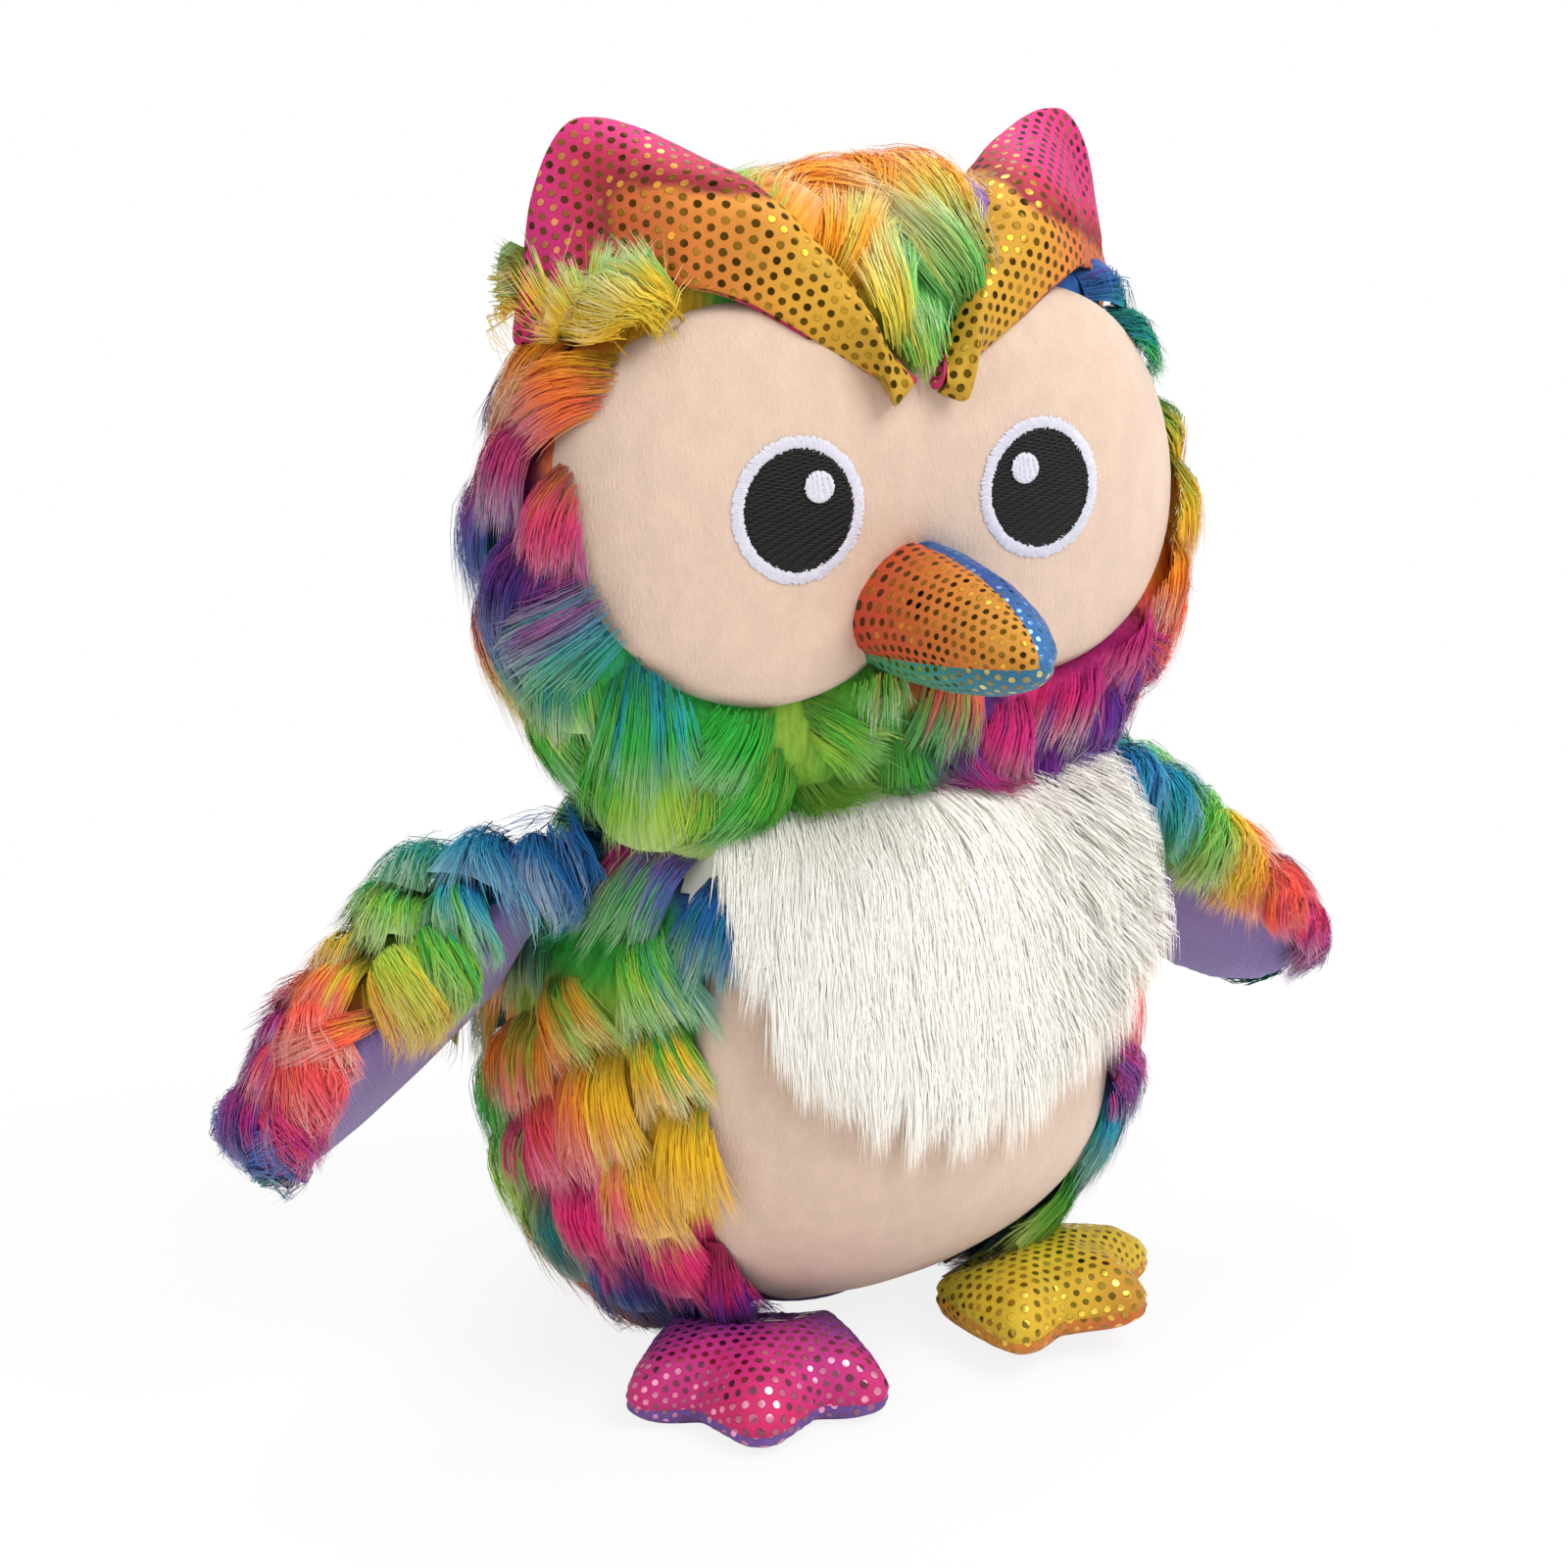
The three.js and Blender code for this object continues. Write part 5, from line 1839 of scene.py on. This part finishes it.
@dataclass
class Ear:
    """One ear that folds down into a brow, with a front and a back panel."""

    side: str
    brow_stops: tuple[tuple[float, str], ...] = (
        (8 * MM, "#cfa01c"), (24 * MM, "#e2a41e"), (36 * MM, "#e58a24"), (50 * MM, "#e0662a"),
    )
    # The dark red next to the fold is painted shadow under the folded brow; hot pink lies beyond
    # it.
    cup_fold_shadow_stops: tuple[tuple[float, str], ...] = (
        (0 * MM, "#8e1524"), (2 * MM, "#b01a34"), (5 * MM, "#cf1c50"), (9 * MM, "#e0207c"),
    )
    back_stops: tuple[tuple[float, str], ...] = (
        (10 * MM, "#d01f63"), (34 * MM, "#d5326a"), (44 * MM, "#d8a42a"), (60 * MM, "#d9ab2b"),
    )
    groove: float = 1.1 * MM
    groove_width: float = 1.6 * MM
    blend: float = 0.4 / MM
    cut: tuple[float, float] = (82 * MM, 44 * MM)
    front_area: float = 2400 * MM * MM
    back_area: float = 1950 * MM * MM

    def _fold(self, points: Array) -> Array:
        """How far inside the folded brow each place is, seen from the front."""
        across, height = np.abs(points[:, 0]), points[:, 2]
        if self.side == "right":
            gaps = [51.5 * MM - across, 241 * MM - height + 0.12 * (across - 40 * MM)]
            sharp = -self.blend
        else:
            gaps = [26 * MM - across, 235.5 * MM - height - 0.3 * (across - 28 * MM)]
            sharp = self.blend
        return np.log(np.exp(gaps[0] * sharp) + np.exp(gaps[1] * sharp)) / sharp

    def build(self, wear: Wardrobe) -> None:
        """Makes both panels."""
        for face in ("front", "back"):
            node = f"ear_{face}_{self.side}"
            mesh = merged([node])
            bmesh.ops.join_triangles(
                mesh, faces=mesh.faces, angle_face_threshold=0.8, angle_shape_threshold=1.2
            )
            mesh = modified(mesh, "SUBSURF", levels=1, render_levels=1, subdivision_type="SIMPLE")
            mesh = modified(mesh, "SMOOTH", factor=0.5, iterations=1)
            mesh = modified(mesh, "SUBSURF", levels=1, render_levels=1)
            cloth = flattened(mesh, Vector((0, -1, 0.2) if face == "front" else (0, 1, 0.3)))
            points, faces = arrays_of(mesh)
            fold = self._fold(points)
            dip = self.groove * np.exp(-((fold / self.groove_width) ** 2)) * (face == "front")
            wave = Ripple(21, 14 * MM).at(points) * 0.35 * MM
            points = points + (wave + dip)[:, None] * [0.0, 1.0, 0.0]
            across = np.abs(points[:, 0]) + 2 * MM * Ripple(22, 25 * MM).at(points)
            if face == "front":
                brow = smoothstep(-0.5 * MM, 0.3 * MM, fold)[:, None]
                dye = rainbow(across, self.brow_stops) * brow
                # Painted shadow of the brow on the pink cup, darkest next to the fold.
                dye += rainbow(-fold, self.cup_fold_shadow_stops) * (1 - brow)
            else:
                dye = rainbow(across, self.back_stops)
            name = f"ear_{face}_foil_{self.side}"
            carried = {"dye": dye}, {"cloth": cloth}
            piece = mesh_object(name, points, faces, wear.dark_foil, *carried)
            assign(piece, "head", node)


# Each beak panel's colour stops along the beak, how much they move up the panel, and its slot
BEAK_SHADES = {
    "right": (
        ((0.18, "#c4301f"), (0.58, "#d4501f"), (0.93, "#de7f20"), (1.28, "#d9a02a")),
        0.45,
        "orange_foil",
    ),
    "left": (
        ((0.0, "#1d6f7c"), (0.3, "#1c5fa8"), (0.8, "#1b4fa3"), (1.1, "#2b78b8")),
        0.2,
        "blue_foil",
    ),
    "lower": (
        ((0.0, "#2f8f57"), (0.4, "#3f9a72"), (0.75, "#2f8390"), (1.0, "#2a6f9a")),
        0.0,
        "green_foil",
    ),
}


@dataclass
class Beak:
    """The stuffed beak of three panels."""

    root: float = -38.5 * MM
    length: float = 50 * MM
    height: float = 20 * MM
    seam: float = 153.5 * MM
    slope: float = -0.11
    pinch: float = 0.7 * MM
    pinch_width: float = 1.1 * MM
    top_clear: float = 2 * MM
    middle: float = 4 * MM

    def build(self, wear: Wardrobe) -> None:
        """Makes the panels."""
        nodes = ["beak_panel_left", "beak_panel_right", "beak_panel_lower", "beak_stuffing"]
        skin = remeshed(nodes, 0.7 * MM, 10)
        level = Vector((0, self.root, self.seam))
        tilt = Vector((0, -self.slope, 1)).normalized()
        for vertex in skin.verts:
            over = max((vertex.co - level).dot(tilt), 0)
            aside = abs(vertex.co.x) + self.top_clear * (over == 0)
            near = min(aside, abs((vertex.co - level).dot(tilt)))
            dip = self.pinch * math.exp(-((near / self.pinch_width) ** 2))
            axis = Vector((0, vertex.co.y, self.seam + self.middle))
            vertex.co += (axis - vertex.co).normalized() * dip
        upper = half_of(skin, level, -tilt)
        parts = {
            "beak_panel_left": (half_of(upper, level, Vector((-1, 0, 0))), wear.blue_foil),
            "beak_panel_right": (half_of(upper, level, Vector((1, 0, 0))), wear.dark_foil),
            "beak_panel_lower": (half_of(skin, level, tilt), wear.gold_foil),
        }
        for node, (mesh, material) in parts.items():
            self._panel(node, mesh, material)
        upper.free()
        skin.free()

    def _panel(self, node: str, mesh: BMesh, material: Material) -> None:
        cloth = flattened(mesh)
        points, faces = arrays_of(mesh)
        share = (self.root - points[:, 1]) / self.length
        up = (points[:, 2] - self.seam) / self.height
        stops, tilt, slot = BEAK_SHADES[node.split("_")[-1]]
        colours = {"dye": rainbow(share + tilt * up, stops)}
        piece = mesh_object(node + "_foil", points, faces, material, colours, {"cloth": cloth})
        assign(piece, "head", node)


@dataclass
class Body:
    """The body's fur cover, belly panel and chest bib."""

    root: float = 1.5 * MM
    fur: float = 8 * MM
    minky: float = 3.5 * MM
    bib_cover: float = 10.5 * MM
    belly: Oval = Oval(0, 66 * MM, 48 * MM, 62 * MM)
    bib: Oval = Oval(0, 117 * MM, 45 * MM, 38 * MM)
    neck: float = 119 * MM
    seam: float = -20 * MM
    bare: tuple[float, float, float, float] = (4 * MM, 24 * MM, -8 * MM, 12 * MM)
    fan_bare: float = 13 * MM

    def front_depth(self, points: Array) -> Array:
        """How far inside the belly panel or the bib each place is."""
        return np.maximum(self.belly.depth(points), self.bib.depth(points))

    def __post_init__(self) -> None:
        """Measures the body's surface."""
        levels = {
            "body_cover": self.fur,
            "belly_panel": self.minky,
            "chest_bib": self.bib_cover,
            "body_stuffing": -0.3 * MM,
        }
        self.form = Form(levels, (0.0, 2 * MM, 60 * MM))

    def build(self, wear: Wardrobe) -> None:
        """Makes the pieces."""
        form = self.form
        dye = TieDye(dabs_on(form, BODY_DABS, 0.0), 12)
        coat = Coat(form, Pile(), dye, 4)

        def keep(places: Array) -> Array:
            over = np.where(places[..., 0] < 0, 7 * MM, -2 * MM)
            edge = np.where(places[..., 0] < 0, 0.5 * MM, 4 * MM)
            open_front = (self.belly.depth(places) < edge) & (self.bib.depth(places) < over)
            return open_front & (places[..., 2] < self.neck)

        def shown(places: Array) -> Array:
            """No fur hangs out under the belly."""
            middle, reach, front, top = self.bare
            under = (places[..., 2] < top) & (places[..., 1] < front)
            return ~(under & (abs(places[..., 0] - middle) < reach))

        tops = tuft_tops("body_cover", form)
        fibres = coat.grow(form.patch(self.root), keep, self._flow, tops)
        def fanned(places: Array) -> Array:
            lower = np.where(places[..., :1] > 0, self.fan_bare, 0) * UP
            return keep(places) & shown(places - lower)

        coat.fans(fanned, "body_tufts", "body", wear.fur)
        fibres = fibres.chosen(shown(fibres.paths).all(1))
        dress_fur(fibres, "body_fur", "body", wear.fur, self.seam)
        wool = wool_under(form, "body_cover", self.fur, self.front_depth)
        backing(wool, dye, ("body_wool", "body_cover"), "body", wear)
        names = ("belly_minky", "belly_panel")
        cream_panel(form, names, "body", self.belly.depth, self.minky, wear)
        Bib(self.bib, self.root, self.neck).build(form, wear)

    def _flow(self, places: Array, normals: Array) -> Array:
        """Fur on the body lies downwards, and a little away from the bib."""
        near = smoothstep(-22 * MM, -2 * MM, self.bib.depth(places))[:, None]
        return -UP + near * np.sign(places[:, :1]) * [0.6, 0.0, 0.0]


@dataclass
class Bib:
    """The long straight white fur on the chest."""

    oval: Oval
    root: float
    top: float
    fibres: int = 28000
    length: float = 24 * MM
    wisp: float = 3.4 * MM
    width: float = 0.19 * MM
    steps: int = 5
    far: float = -33 * MM
    near: float = 38 * MM
    rise: float = 9.5 * MM
    sag: float = 1.5 * MM
    stray: float = 0.4 * MM
    white: tuple[float, float, float] = (0.97, 0.94, 0.88)

    def build(self, form: Form, wear: Wardrobe) -> None:
        """Makes the hair and its backing."""
        rng = np.random.default_rng(8)
        roots, up = form.patch(self.root).scatter(self.fibres * 14, rng)
        inside = (self.oval.depth(roots) > -1 * MM) & (roots[:, 2] < self.top + 4 * MM)
        inside &= (roots[:, 0] > self.far) & (roots[:, 0] < self.near) & (up[:, 1] < -0.3)
        roots, up = roots[inside][: self.fibres], up[inside][: self.fibres]
        count = len(roots)
        picks = spread_out(roots, self.wisp)
        wisp = np.linalg.norm(roots[:, None] - roots[picks], axis=2).argmin(1)
        lean = self._lean(roots) + rng.normal(size=roots.shape) * 0.05
        lean = lean + (rng.normal(size=(len(picks), 3)) * 0.09)[wisp]
        lean = unit(lean - 0.8 * (lean * up).sum(1, keepdims=True) * up)
        size = rng.uniform(0.85, 1.12, len(picks))[wisp] * rng.uniform(0.75, 1.08, count)
        share = np.linspace(0, 1, self.steps)
        outward = roots[:, 0] / self.oval.half_width
        length = self.length * size * (1.05 - 0.4 * outward**2)
        run = lean[:, None] * (length[:, None] * share**1.05)[..., None]
        paths = roots[:, None] + run
        together = (roots[picks][wisp] - roots)[:, None] * (0.4 * share[:, None] ** 2)
        lift = self.rise * np.sin(np.minimum(share / 0.4, 1) * math.pi / 2) - self.sag * share**2
        heights = lift * rng.uniform(0.84, 1.06, (count, 1))
        heights *= (1 + 1.5 * smoothstep(0.3, 1, outward))[:, None]
        paths, normals = form.settle(paths + together, heights)
        paths = paths + rng.normal(0, self.stray, (count, 1, 3)) * share[:, None] ** 2
        white = np.array(self.white)
        colours = np.broadcast_to(white, paths.shape)
        tone = np.clip(rng.normal(0.6, 0.1, count), 0, 1)
        frost = rng.uniform(0.2, 0.9, count)
        twist = rng.normal(0, 0.15, count)
        shading = unit(normals + 0.15 * lean[:, None] * (share[:, None] - 0.4))
        along = np.broadcast_to(share, heights.shape)
        hair = Strands(paths, shading, colours, along, tone, frost, self.width, twist)
        assign(hair.mesh("bib_hair", wear.white_fur), "body")
        sheet = form.sheet(
            lambda p: 1.5 * MM + 5.9 * MM * smoothstep(-41 * MM, -29 * MM, p[..., 0]),
            lambda p: self.oval.depth(p) > -1 * MM,
            1,
        )
        # The wool under the hair is dimmed and its share along the fibres set low, as painted shade
        # beneath the hair.
        marks = np.tile([0.4, 0.6, 0.2], (len(sheet.points), 1))
        dye = np.tile(white * 0.9, (len(sheet.points), 1))
        carried = {"dye": dye}, {"fibre": marks}
        faces = [sheet.triangles]
        under = mesh_object("bib_wool", sheet.points, faces, wear.white_fur, *carried)
        assign(under, "body", "chest_bib")

    def _lean(self, roots: Array) -> Array:
        aside = roots[:, 0] / self.oval.half_width
        aside = np.where(aside > 0, 0.4 + 0.7 * aside, 0.1) * aside + 0.04
        return np.stack([aside, np.full_like(aside, -0.15), np.full_like(aside, -1)], -1)


# Each dye's dabs on a wing: share of the length from its root, and side from -1 behind to 1
WING_DABS: dict[Dye, tuple[tuple[float, float], ...]] = {
    Dye.BLUE: ((0.02, 0.7), (0.95, 0.1)),
    Dye.TEAL: ((0.02, 0.0), (1.0, -0.5)),
    Dye.GREEN: ((0.1, -0.8), (0.2, 0.3), (0.3, 0.9), (0.32, -0.2)),
    Dye.CYAN: ((0.14, 0.9),),
    Dye.LIME: ((0.42, 0.8), (0.36, -0.9)),
    Dye.YELLOW: ((0.5, 0.9),),
    Dye.ORANGE: ((0.46, -0.4), (0.56, 0.4), (0.5, -0.9), (0.62, -0.6)),
    Dye.CORAL: ((0.64, 0.9), (0.76, 0.95)),
    Dye.PINK: ((0.66, 0.1), (0.84, 0.9)),
    Dye.MAGENTA: ((0.74, -0.5), (0.88, 0.5)),
    Dye.PURPLE: ((0.78, 0.3), (0.98, 0.8)),
    Dye.INDIGO: ((0.86, -0.4),),
}


@dataclass
class Wing:
    """One stuffed wing: fur outside and a flat tricot lining inside."""

    side: str
    root: tuple[float, float, float] = (61.7 * MM, -4 * MM, 100 * MM)
    length: float = 77 * MM
    half_chord: float = 18.5 * MM
    droop: float = 35.0
    sweep: float = 4.0
    twist: float = 45.0

    def __post_init__(self) -> None:
        """Works out the wing's directions, as the CAD model does."""
        sign = 1 if self.side == "left" else -1
        droop, sweep = math.radians(self.droop), math.radians(self.sweep)
        twist = math.radians(self.twist)
        along = np.array(
            [
                math.cos(droop) * math.cos(sweep),
                -math.cos(droop) * math.sin(sweep),
                -math.sin(droop),
            ]
        )
        ahead = np.array([0.0, -1.0, 0.0])
        ahead = unit(ahead - ahead @ along * along)
        inward = np.cross(ahead, along)
        inward = -inward if inward[2] > 0 else inward
        mirror = np.array([sign, 1, 1])
        self.along = along * mirror
        self.chord = (ahead * math.cos(twist) - inward * math.sin(twist)) * mirror
        self.out = (-inward * math.cos(twist) - ahead * math.sin(twist)) * mirror
        self.start = np.array(self.root) * mirror
        self.middle = self.start + self.along * self.length * 0.5 + self.out * 4 * MM

    def build(self, wear: Wardrobe) -> None:
        """Makes the pieces."""
        body = f"{self.side}_wing"
        names = [f"wing_{part}_{self.side}" for part in ("fur", "lining", "batting")]
        skin = Skin(names, 1.2 * MM, 6, 2 * MM)
        dabs = [(shade, self._place(*spot)) for shade, spots in WING_DABS.items() for spot in spots]
        dye = TieDye(dabs, 13)
        pile = Pile(
            spacing=8.5 * MM,
            foot=6 * MM,
            reach=11.5 * MM,
            narrow=4 * MM,
            wide=8 * MM,
            rise=7 * MM,
            droop=0,
        )
        coat = Coat(skin, pile, dye, 5 if self.side == "left" else 6)

        def keep(places: Array) -> Array:
            aside = (places - self.start) @ self.chord / self.half_chord
            return (self._over(places) > -1 * MM) & (aside > -0.85)

        fibres = coat.grow(skin.whole, keep, self._flow, np.empty((0, 3)), self._fuller)
        assign(fibres.mesh(f"wing_fur_fibres_{self.side}", wear.fur), body)
        coat.fans(keep, f"wing_tufts_{self.side}", body, wear.fur)
        over = self._over(skin.whole.points)
        parts = {}
        for part, mask in (("wool", over > -1 * MM), ("tricot", over < 2 * MM)):
            inside = mask[skin.whole.triangles].all(1)
            used, renamed = np.unique(skin.whole.triangles[inside], return_inverse=True)
            lift = (1 if part == "wool" else 1.6) * MM
            points = skin.whole.points[used] + skin.whole.normals[used] * lift
            parts[part] = Patch(points, skin.whole.normals[used], renamed.reshape(-1, 3))
        wool = (f"wing_wool_{self.side}", f"wing_fur_{self.side}")
        backing(parts["wool"], dye, wool, body, wear)
        sheet = parts["tricot"]
        local = sheet.points - self.start
        cloth = np.stack([local @ self.along, local @ self.chord, np.zeros(len(local))], -1)
        name, faces = f"wing_tricot_{self.side}", [sheet.triangles]
        lining = mesh_object(name, sheet.points, faces, wear.tricot, None, {"cloth": cloth})
        assign(lining, body, f"wing_lining_{self.side}")

    def _place(self, share: float, side: float) -> Array:
        ahead = self.chord * side * self.half_chord
        return self.start + self.along * share * self.length + ahead + self.out * 6 * MM

    def _over(self, points: Array) -> Array:
        return (points - self.start) @ self.out

    def _fuller(self, places: Array) -> Array:
        """The fur is longest at the wing's root."""
        share = (places - self.start) @ self.along / self.length
        return 1 + 0.8 * (1 - smoothstep(0, 0.6, share))

    def _flow(self, places: Array, normals: Array) -> Array:
        local = places - self.start
        aside = np.clip(local @ self.chord / self.half_chord, -1, 1)
        over = smoothstep(0.3, 1, aside)[:, None] * self.out
        return self.along + (0.7 * np.maximum(aside, -0.1))[:, None] * self.chord - 1.2 * over


@dataclass
class Foot:
    """One stuffed foot: a top and a sole panel with three toes."""

    side: str
    hinge: tuple[float, float, float] = (27.5 * MM, -27.5 * MM, 8.5 * MM)
    toe_out: float = 25.0
    edge: float = 4.6 * MM
    reach: float = 29.3 * MM
    length: float = 42.5 * MM

    def __post_init__(self) -> None:
        """Works out the foot's directions."""
        sign = 1 if self.side == "left" else -1
        turn = math.radians(self.toe_out)
        self.along = Vector((sign * math.sin(turn), -math.cos(turn), 0))
        self.aside = Vector((math.cos(turn), sign * math.sin(turn), 0))
        self.start = Vector(self.hinge)
        self.start.x *= sign
        self.lift = math.radians(9.0 if sign > 0 else 0.0)

    def build(self, wear: Wardrobe) -> None:
        """Makes the two panels."""
        nodes = [f"foot_{part}_{self.side}" for part in ("top", "sole", "stuffing")]
        skin = remeshed(nodes, 0.8 * MM, 6)
        lay = Matrix.Rotation(self.lift, 4, self.along.cross(Vector((0, 0, 1))).normalized())
        flat = Matrix.Translation(self.start) @ lay.inverted() @ Matrix.Translation(-self.start)
        bmesh.ops.transform(skin, matrix=flat, verts=skin.verts)
        self._pucker(skin)
        for vertex in skin.verts:
            vertex.co.z -= self._seam(vertex.co)
        ground = Vector((0, 0, 0))
        panels = {"top": half_of(skin, ground, Vector((0, 0, -1)))}
        panels["sole"] = half_of(skin, ground, Vector((0, 0, 1)))
        skin.free()
        for part, mesh in panels.items():
            for vertex in mesh.verts:
                vertex.co.z += self._seam(vertex.co)
            bmesh.ops.transform(mesh, matrix=flat.inverted(), verts=mesh.verts)
            self._panel(part, mesh, wear)

    def _seam(self, point: Vector) -> float:
        share = min(max((point - self.start).dot(self.along) / self.reach, 0), 1)
        share = share * share * (3 - 2 * share)
        return self.hinge[2] + (self.edge - self.hinge[2]) * share

    def _pucker(self, skin: BMesh) -> None:
        """Pulls the skin in at the seam, with small gathers."""
        middle = self.start + self.along * self.reach * 0.55
        for vertex in skin.verts:
            out = vertex.co - middle
            height = vertex.co.z - self._seam(vertex.co)
            turn = math.atan2(out.dot(self.aside), out.dot(self.along))
            near = math.exp(-((height / (2.6 * MM)) ** 2))
            seam = math.exp(-((height / (0.7 * MM)) ** 2))
            gather = 0.28 * MM * math.sin(turn * 46) * near * (1 - seam)
            out.z = 0
            vertex.co += out.normalized() * (gather - 0.6 * MM * seam)

    def _panel(self, part: str, mesh: BMesh, wear: Wardrobe) -> None:
        cloth = flattened(mesh)
        points, faces = arrays_of(mesh)
        local = points - np.array(self.start)
        forward, aside = local @ np.array(self.along), local @ np.array(self.aside)
        noise = Ripple(41, 22 * MM).at(points) * 0.06
        share = forward / self.length + noise
        if self.side == "right":
            top = ((0.1, "#5d3a9c"), (0.3, "#9c35a0"), (0.5, "#cf2a90"), (0.85, "#e01c6e"))
            sole = ((0.2, "#6a4a9c"), (0.9, "#7a52a4"))
        else:
            top = ((0.1, "#b9b52a"), (0.4, "#dcc028"), (0.75, "#e3b51f"), (1.0, "#cf8f1c"))
            sole = ((0.3, "#d9a020"), (0.9, "#d8702a"))
        stops = top if part == "top" else sole
        material = wear.pink_foil if self.side == "right" else wear.gold_foil
        name = f"foot_{part}_foil_{self.side}"
        carried = {"dye": rainbow(share, stops)}, {"cloth": cloth}
        piece = mesh_object(name, points, faces, material, *carried)
        assign(piece, f"{self.side}_foot", f"foot_{part}_{self.side}")


def dress_hidden(wear: Wardrobe) -> None:
    """Gives the CAD nodes that stay their finishes.

    Args:
        wear: The finishes.
    """
    for name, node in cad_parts.items():
        if node.hide_render:
            continue
        node.data.materials.clear()
        node.data.materials.append(wear.tricot if name == "base_panel" else wear.filling)


# Scene


def heading_to(azimuth: float, elevation: float) -> Vector:
    """The direction at an azimuth from the front and an elevation, in degrees."""
    turn, rise = math.radians(azimuth), math.radians(elevation)
    level = math.cos(rise)
    return Vector((math.sin(turn) * level, -math.cos(turn) * level, math.sin(rise)))


@dataclass(frozen=True)
class View:
    """The camera, where the photograph was taken."""

    azimuth: float = -28.5
    elevation: float = 14.0
    distance: float = 560 * MM
    pivot: tuple[float, float, float] = (0.0, 0.0, 137 * MM)
    aim: tuple[float, float, float] = (-6.6 * MM, -2.25 * MM, 116.4 * MM)
    lens: float = 61.2

    def build(self) -> None:
        """Makes the camera."""
        back = heading_to(self.azimuth, self.elevation)
        data = bpy.data.cameras.new("camera")
        data.lens = self.lens
        data.sensor_width = 36
        camera = bpy.data.objects.new("camera", data)
        camera.location = Vector(self.pivot) + back * self.distance
        look = Vector(self.aim) - camera.location
        camera.rotation_euler = look.to_track_quat("-Z", "Y").to_euler()
        bpy.context.scene.collection.objects.link(camera)
        bpy.context.scene.camera = camera


@dataclass(frozen=True)
class SoftLight:
    """A square lamp that points at the owl."""

    name: str
    azimuth: float
    elevation: float
    distance: float
    size: float
    power: float

    def build(self) -> None:
        """Makes the lamp."""
        away = heading_to(self.azimuth, self.elevation)
        data = bpy.data.lights.new(self.name, "AREA")
        data.size = self.size
        data.energy = self.power
        lamp = bpy.data.objects.new(self.name, data)
        lamp.location = away * self.distance + Vector((0, 0, 120 * MM))
        lamp.rotation_euler = (-away).to_track_quat("-Z", "Y").to_euler()
        bpy.context.scene.collection.objects.link(lamp)


@dataclass(frozen=True)
class Studio:
    """A white room with soft lamps and a plain pale floor."""

    ambient: float = 0.55
    glow: float = 0.85
    near: float = 0.12
    clear: float = 0.4
    floor_reach: float = 30.0

    def build(self) -> None:
        """Makes the floor, the world and the lamps."""
        bpy.context.scene.view_settings.view_transform = "Standard"
        self._world()
        self._floor()
        for lamp in (
            SoftLight("key_lamp", 35, 50, 1.0, 0.6, 7.2),
            SoftLight("fill_lamp", -70, 35, 1.1, 0.8, 1.6),
            SoftLight("top_lamp", 170, 65, 0.9, 0.6, 4),
        ):
            lamp.build()

    def _world(self) -> None:
        world = bpy.data.worlds.new("studio")
        bpy.context.scene.world = world
        world.use_nodes = True
        nodes, links = world.node_tree.nodes, world.node_tree.links
        lit, shown = nodes.new("ShaderNodeBackground"), nodes["Background"]
        ray, both = nodes.new("ShaderNodeLightPath"), nodes.new("ShaderNodeMixShader")
        links.new(ray.outputs["Is Camera Ray"], both.inputs[0])
        for i, (light, strength) in enumerate(((lit, self.ambient), (shown, 1.0))):
            light.inputs["Color"].default_value = (1, 1, 1, 1)
            light.inputs["Strength"].default_value = strength
            links.new(light.outputs[0], both.inputs[i + 1])
        links.new(both.outputs[0], nodes["World Output"].inputs["Surface"])

    def _floor(self) -> None:
        corners = np.array([[-1, -1, 0], [1, -1, 0], [1, 1, 0], [-1, 1, 0]]) * self.floor_reach
        shader = Shader("pale_floor", roughness=1)
        shader.surface.inputs["Base Color"].default_value = (0.9, 0.9, 0.9, 1)
        glow = shader.node("ShaderNodeEmission", {}, {"Color": (1, 1, 1, 1)}, 0)
        seen = shader.node("ShaderNodeLightPath", {}, {}, "Is Camera Ray")
        settings = {"operation": "LENGTH"}
        far = shader.node("ShaderNodeVectorMath", settings, {0: shader.place()}, "Value")
        limits = {"From Min": self.near, "From Max": self.clear, "To Min": self.glow}
        fade = shader.node("ShaderNodeMapRange", {}, {"Value": far, **limits}, "Result")
        matte = Field(shader, shader.surface.outputs[0])
        both = shader.node("ShaderNodeMixShader", {}, {0: seen * fade, 1: matte, 2: glow}, 0)
        surface = shader.tree.nodes["Material Output"].inputs["Surface"]
        shader.tree.links.new(both.socket, surface)
        mesh_object("floor", corners, [np.array([[0, 1, 2, 3]])], shader.material)


def main() -> None:
    """Builds the scene in order."""
    logging.basicConfig(level=logging.INFO)
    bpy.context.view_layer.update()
    View().build()
    Studio().build()
    wear = Wardrobe()
    body = Body()
    body.build(wear)
    Head().build(wear, body.form)
    for side in ("left", "right"):
        Wing(side).build(wear)
        Foot(side).build(wear)
    dress_hidden(wear)
    LOG.info("built")


if __name__ == "__main__":
    main()
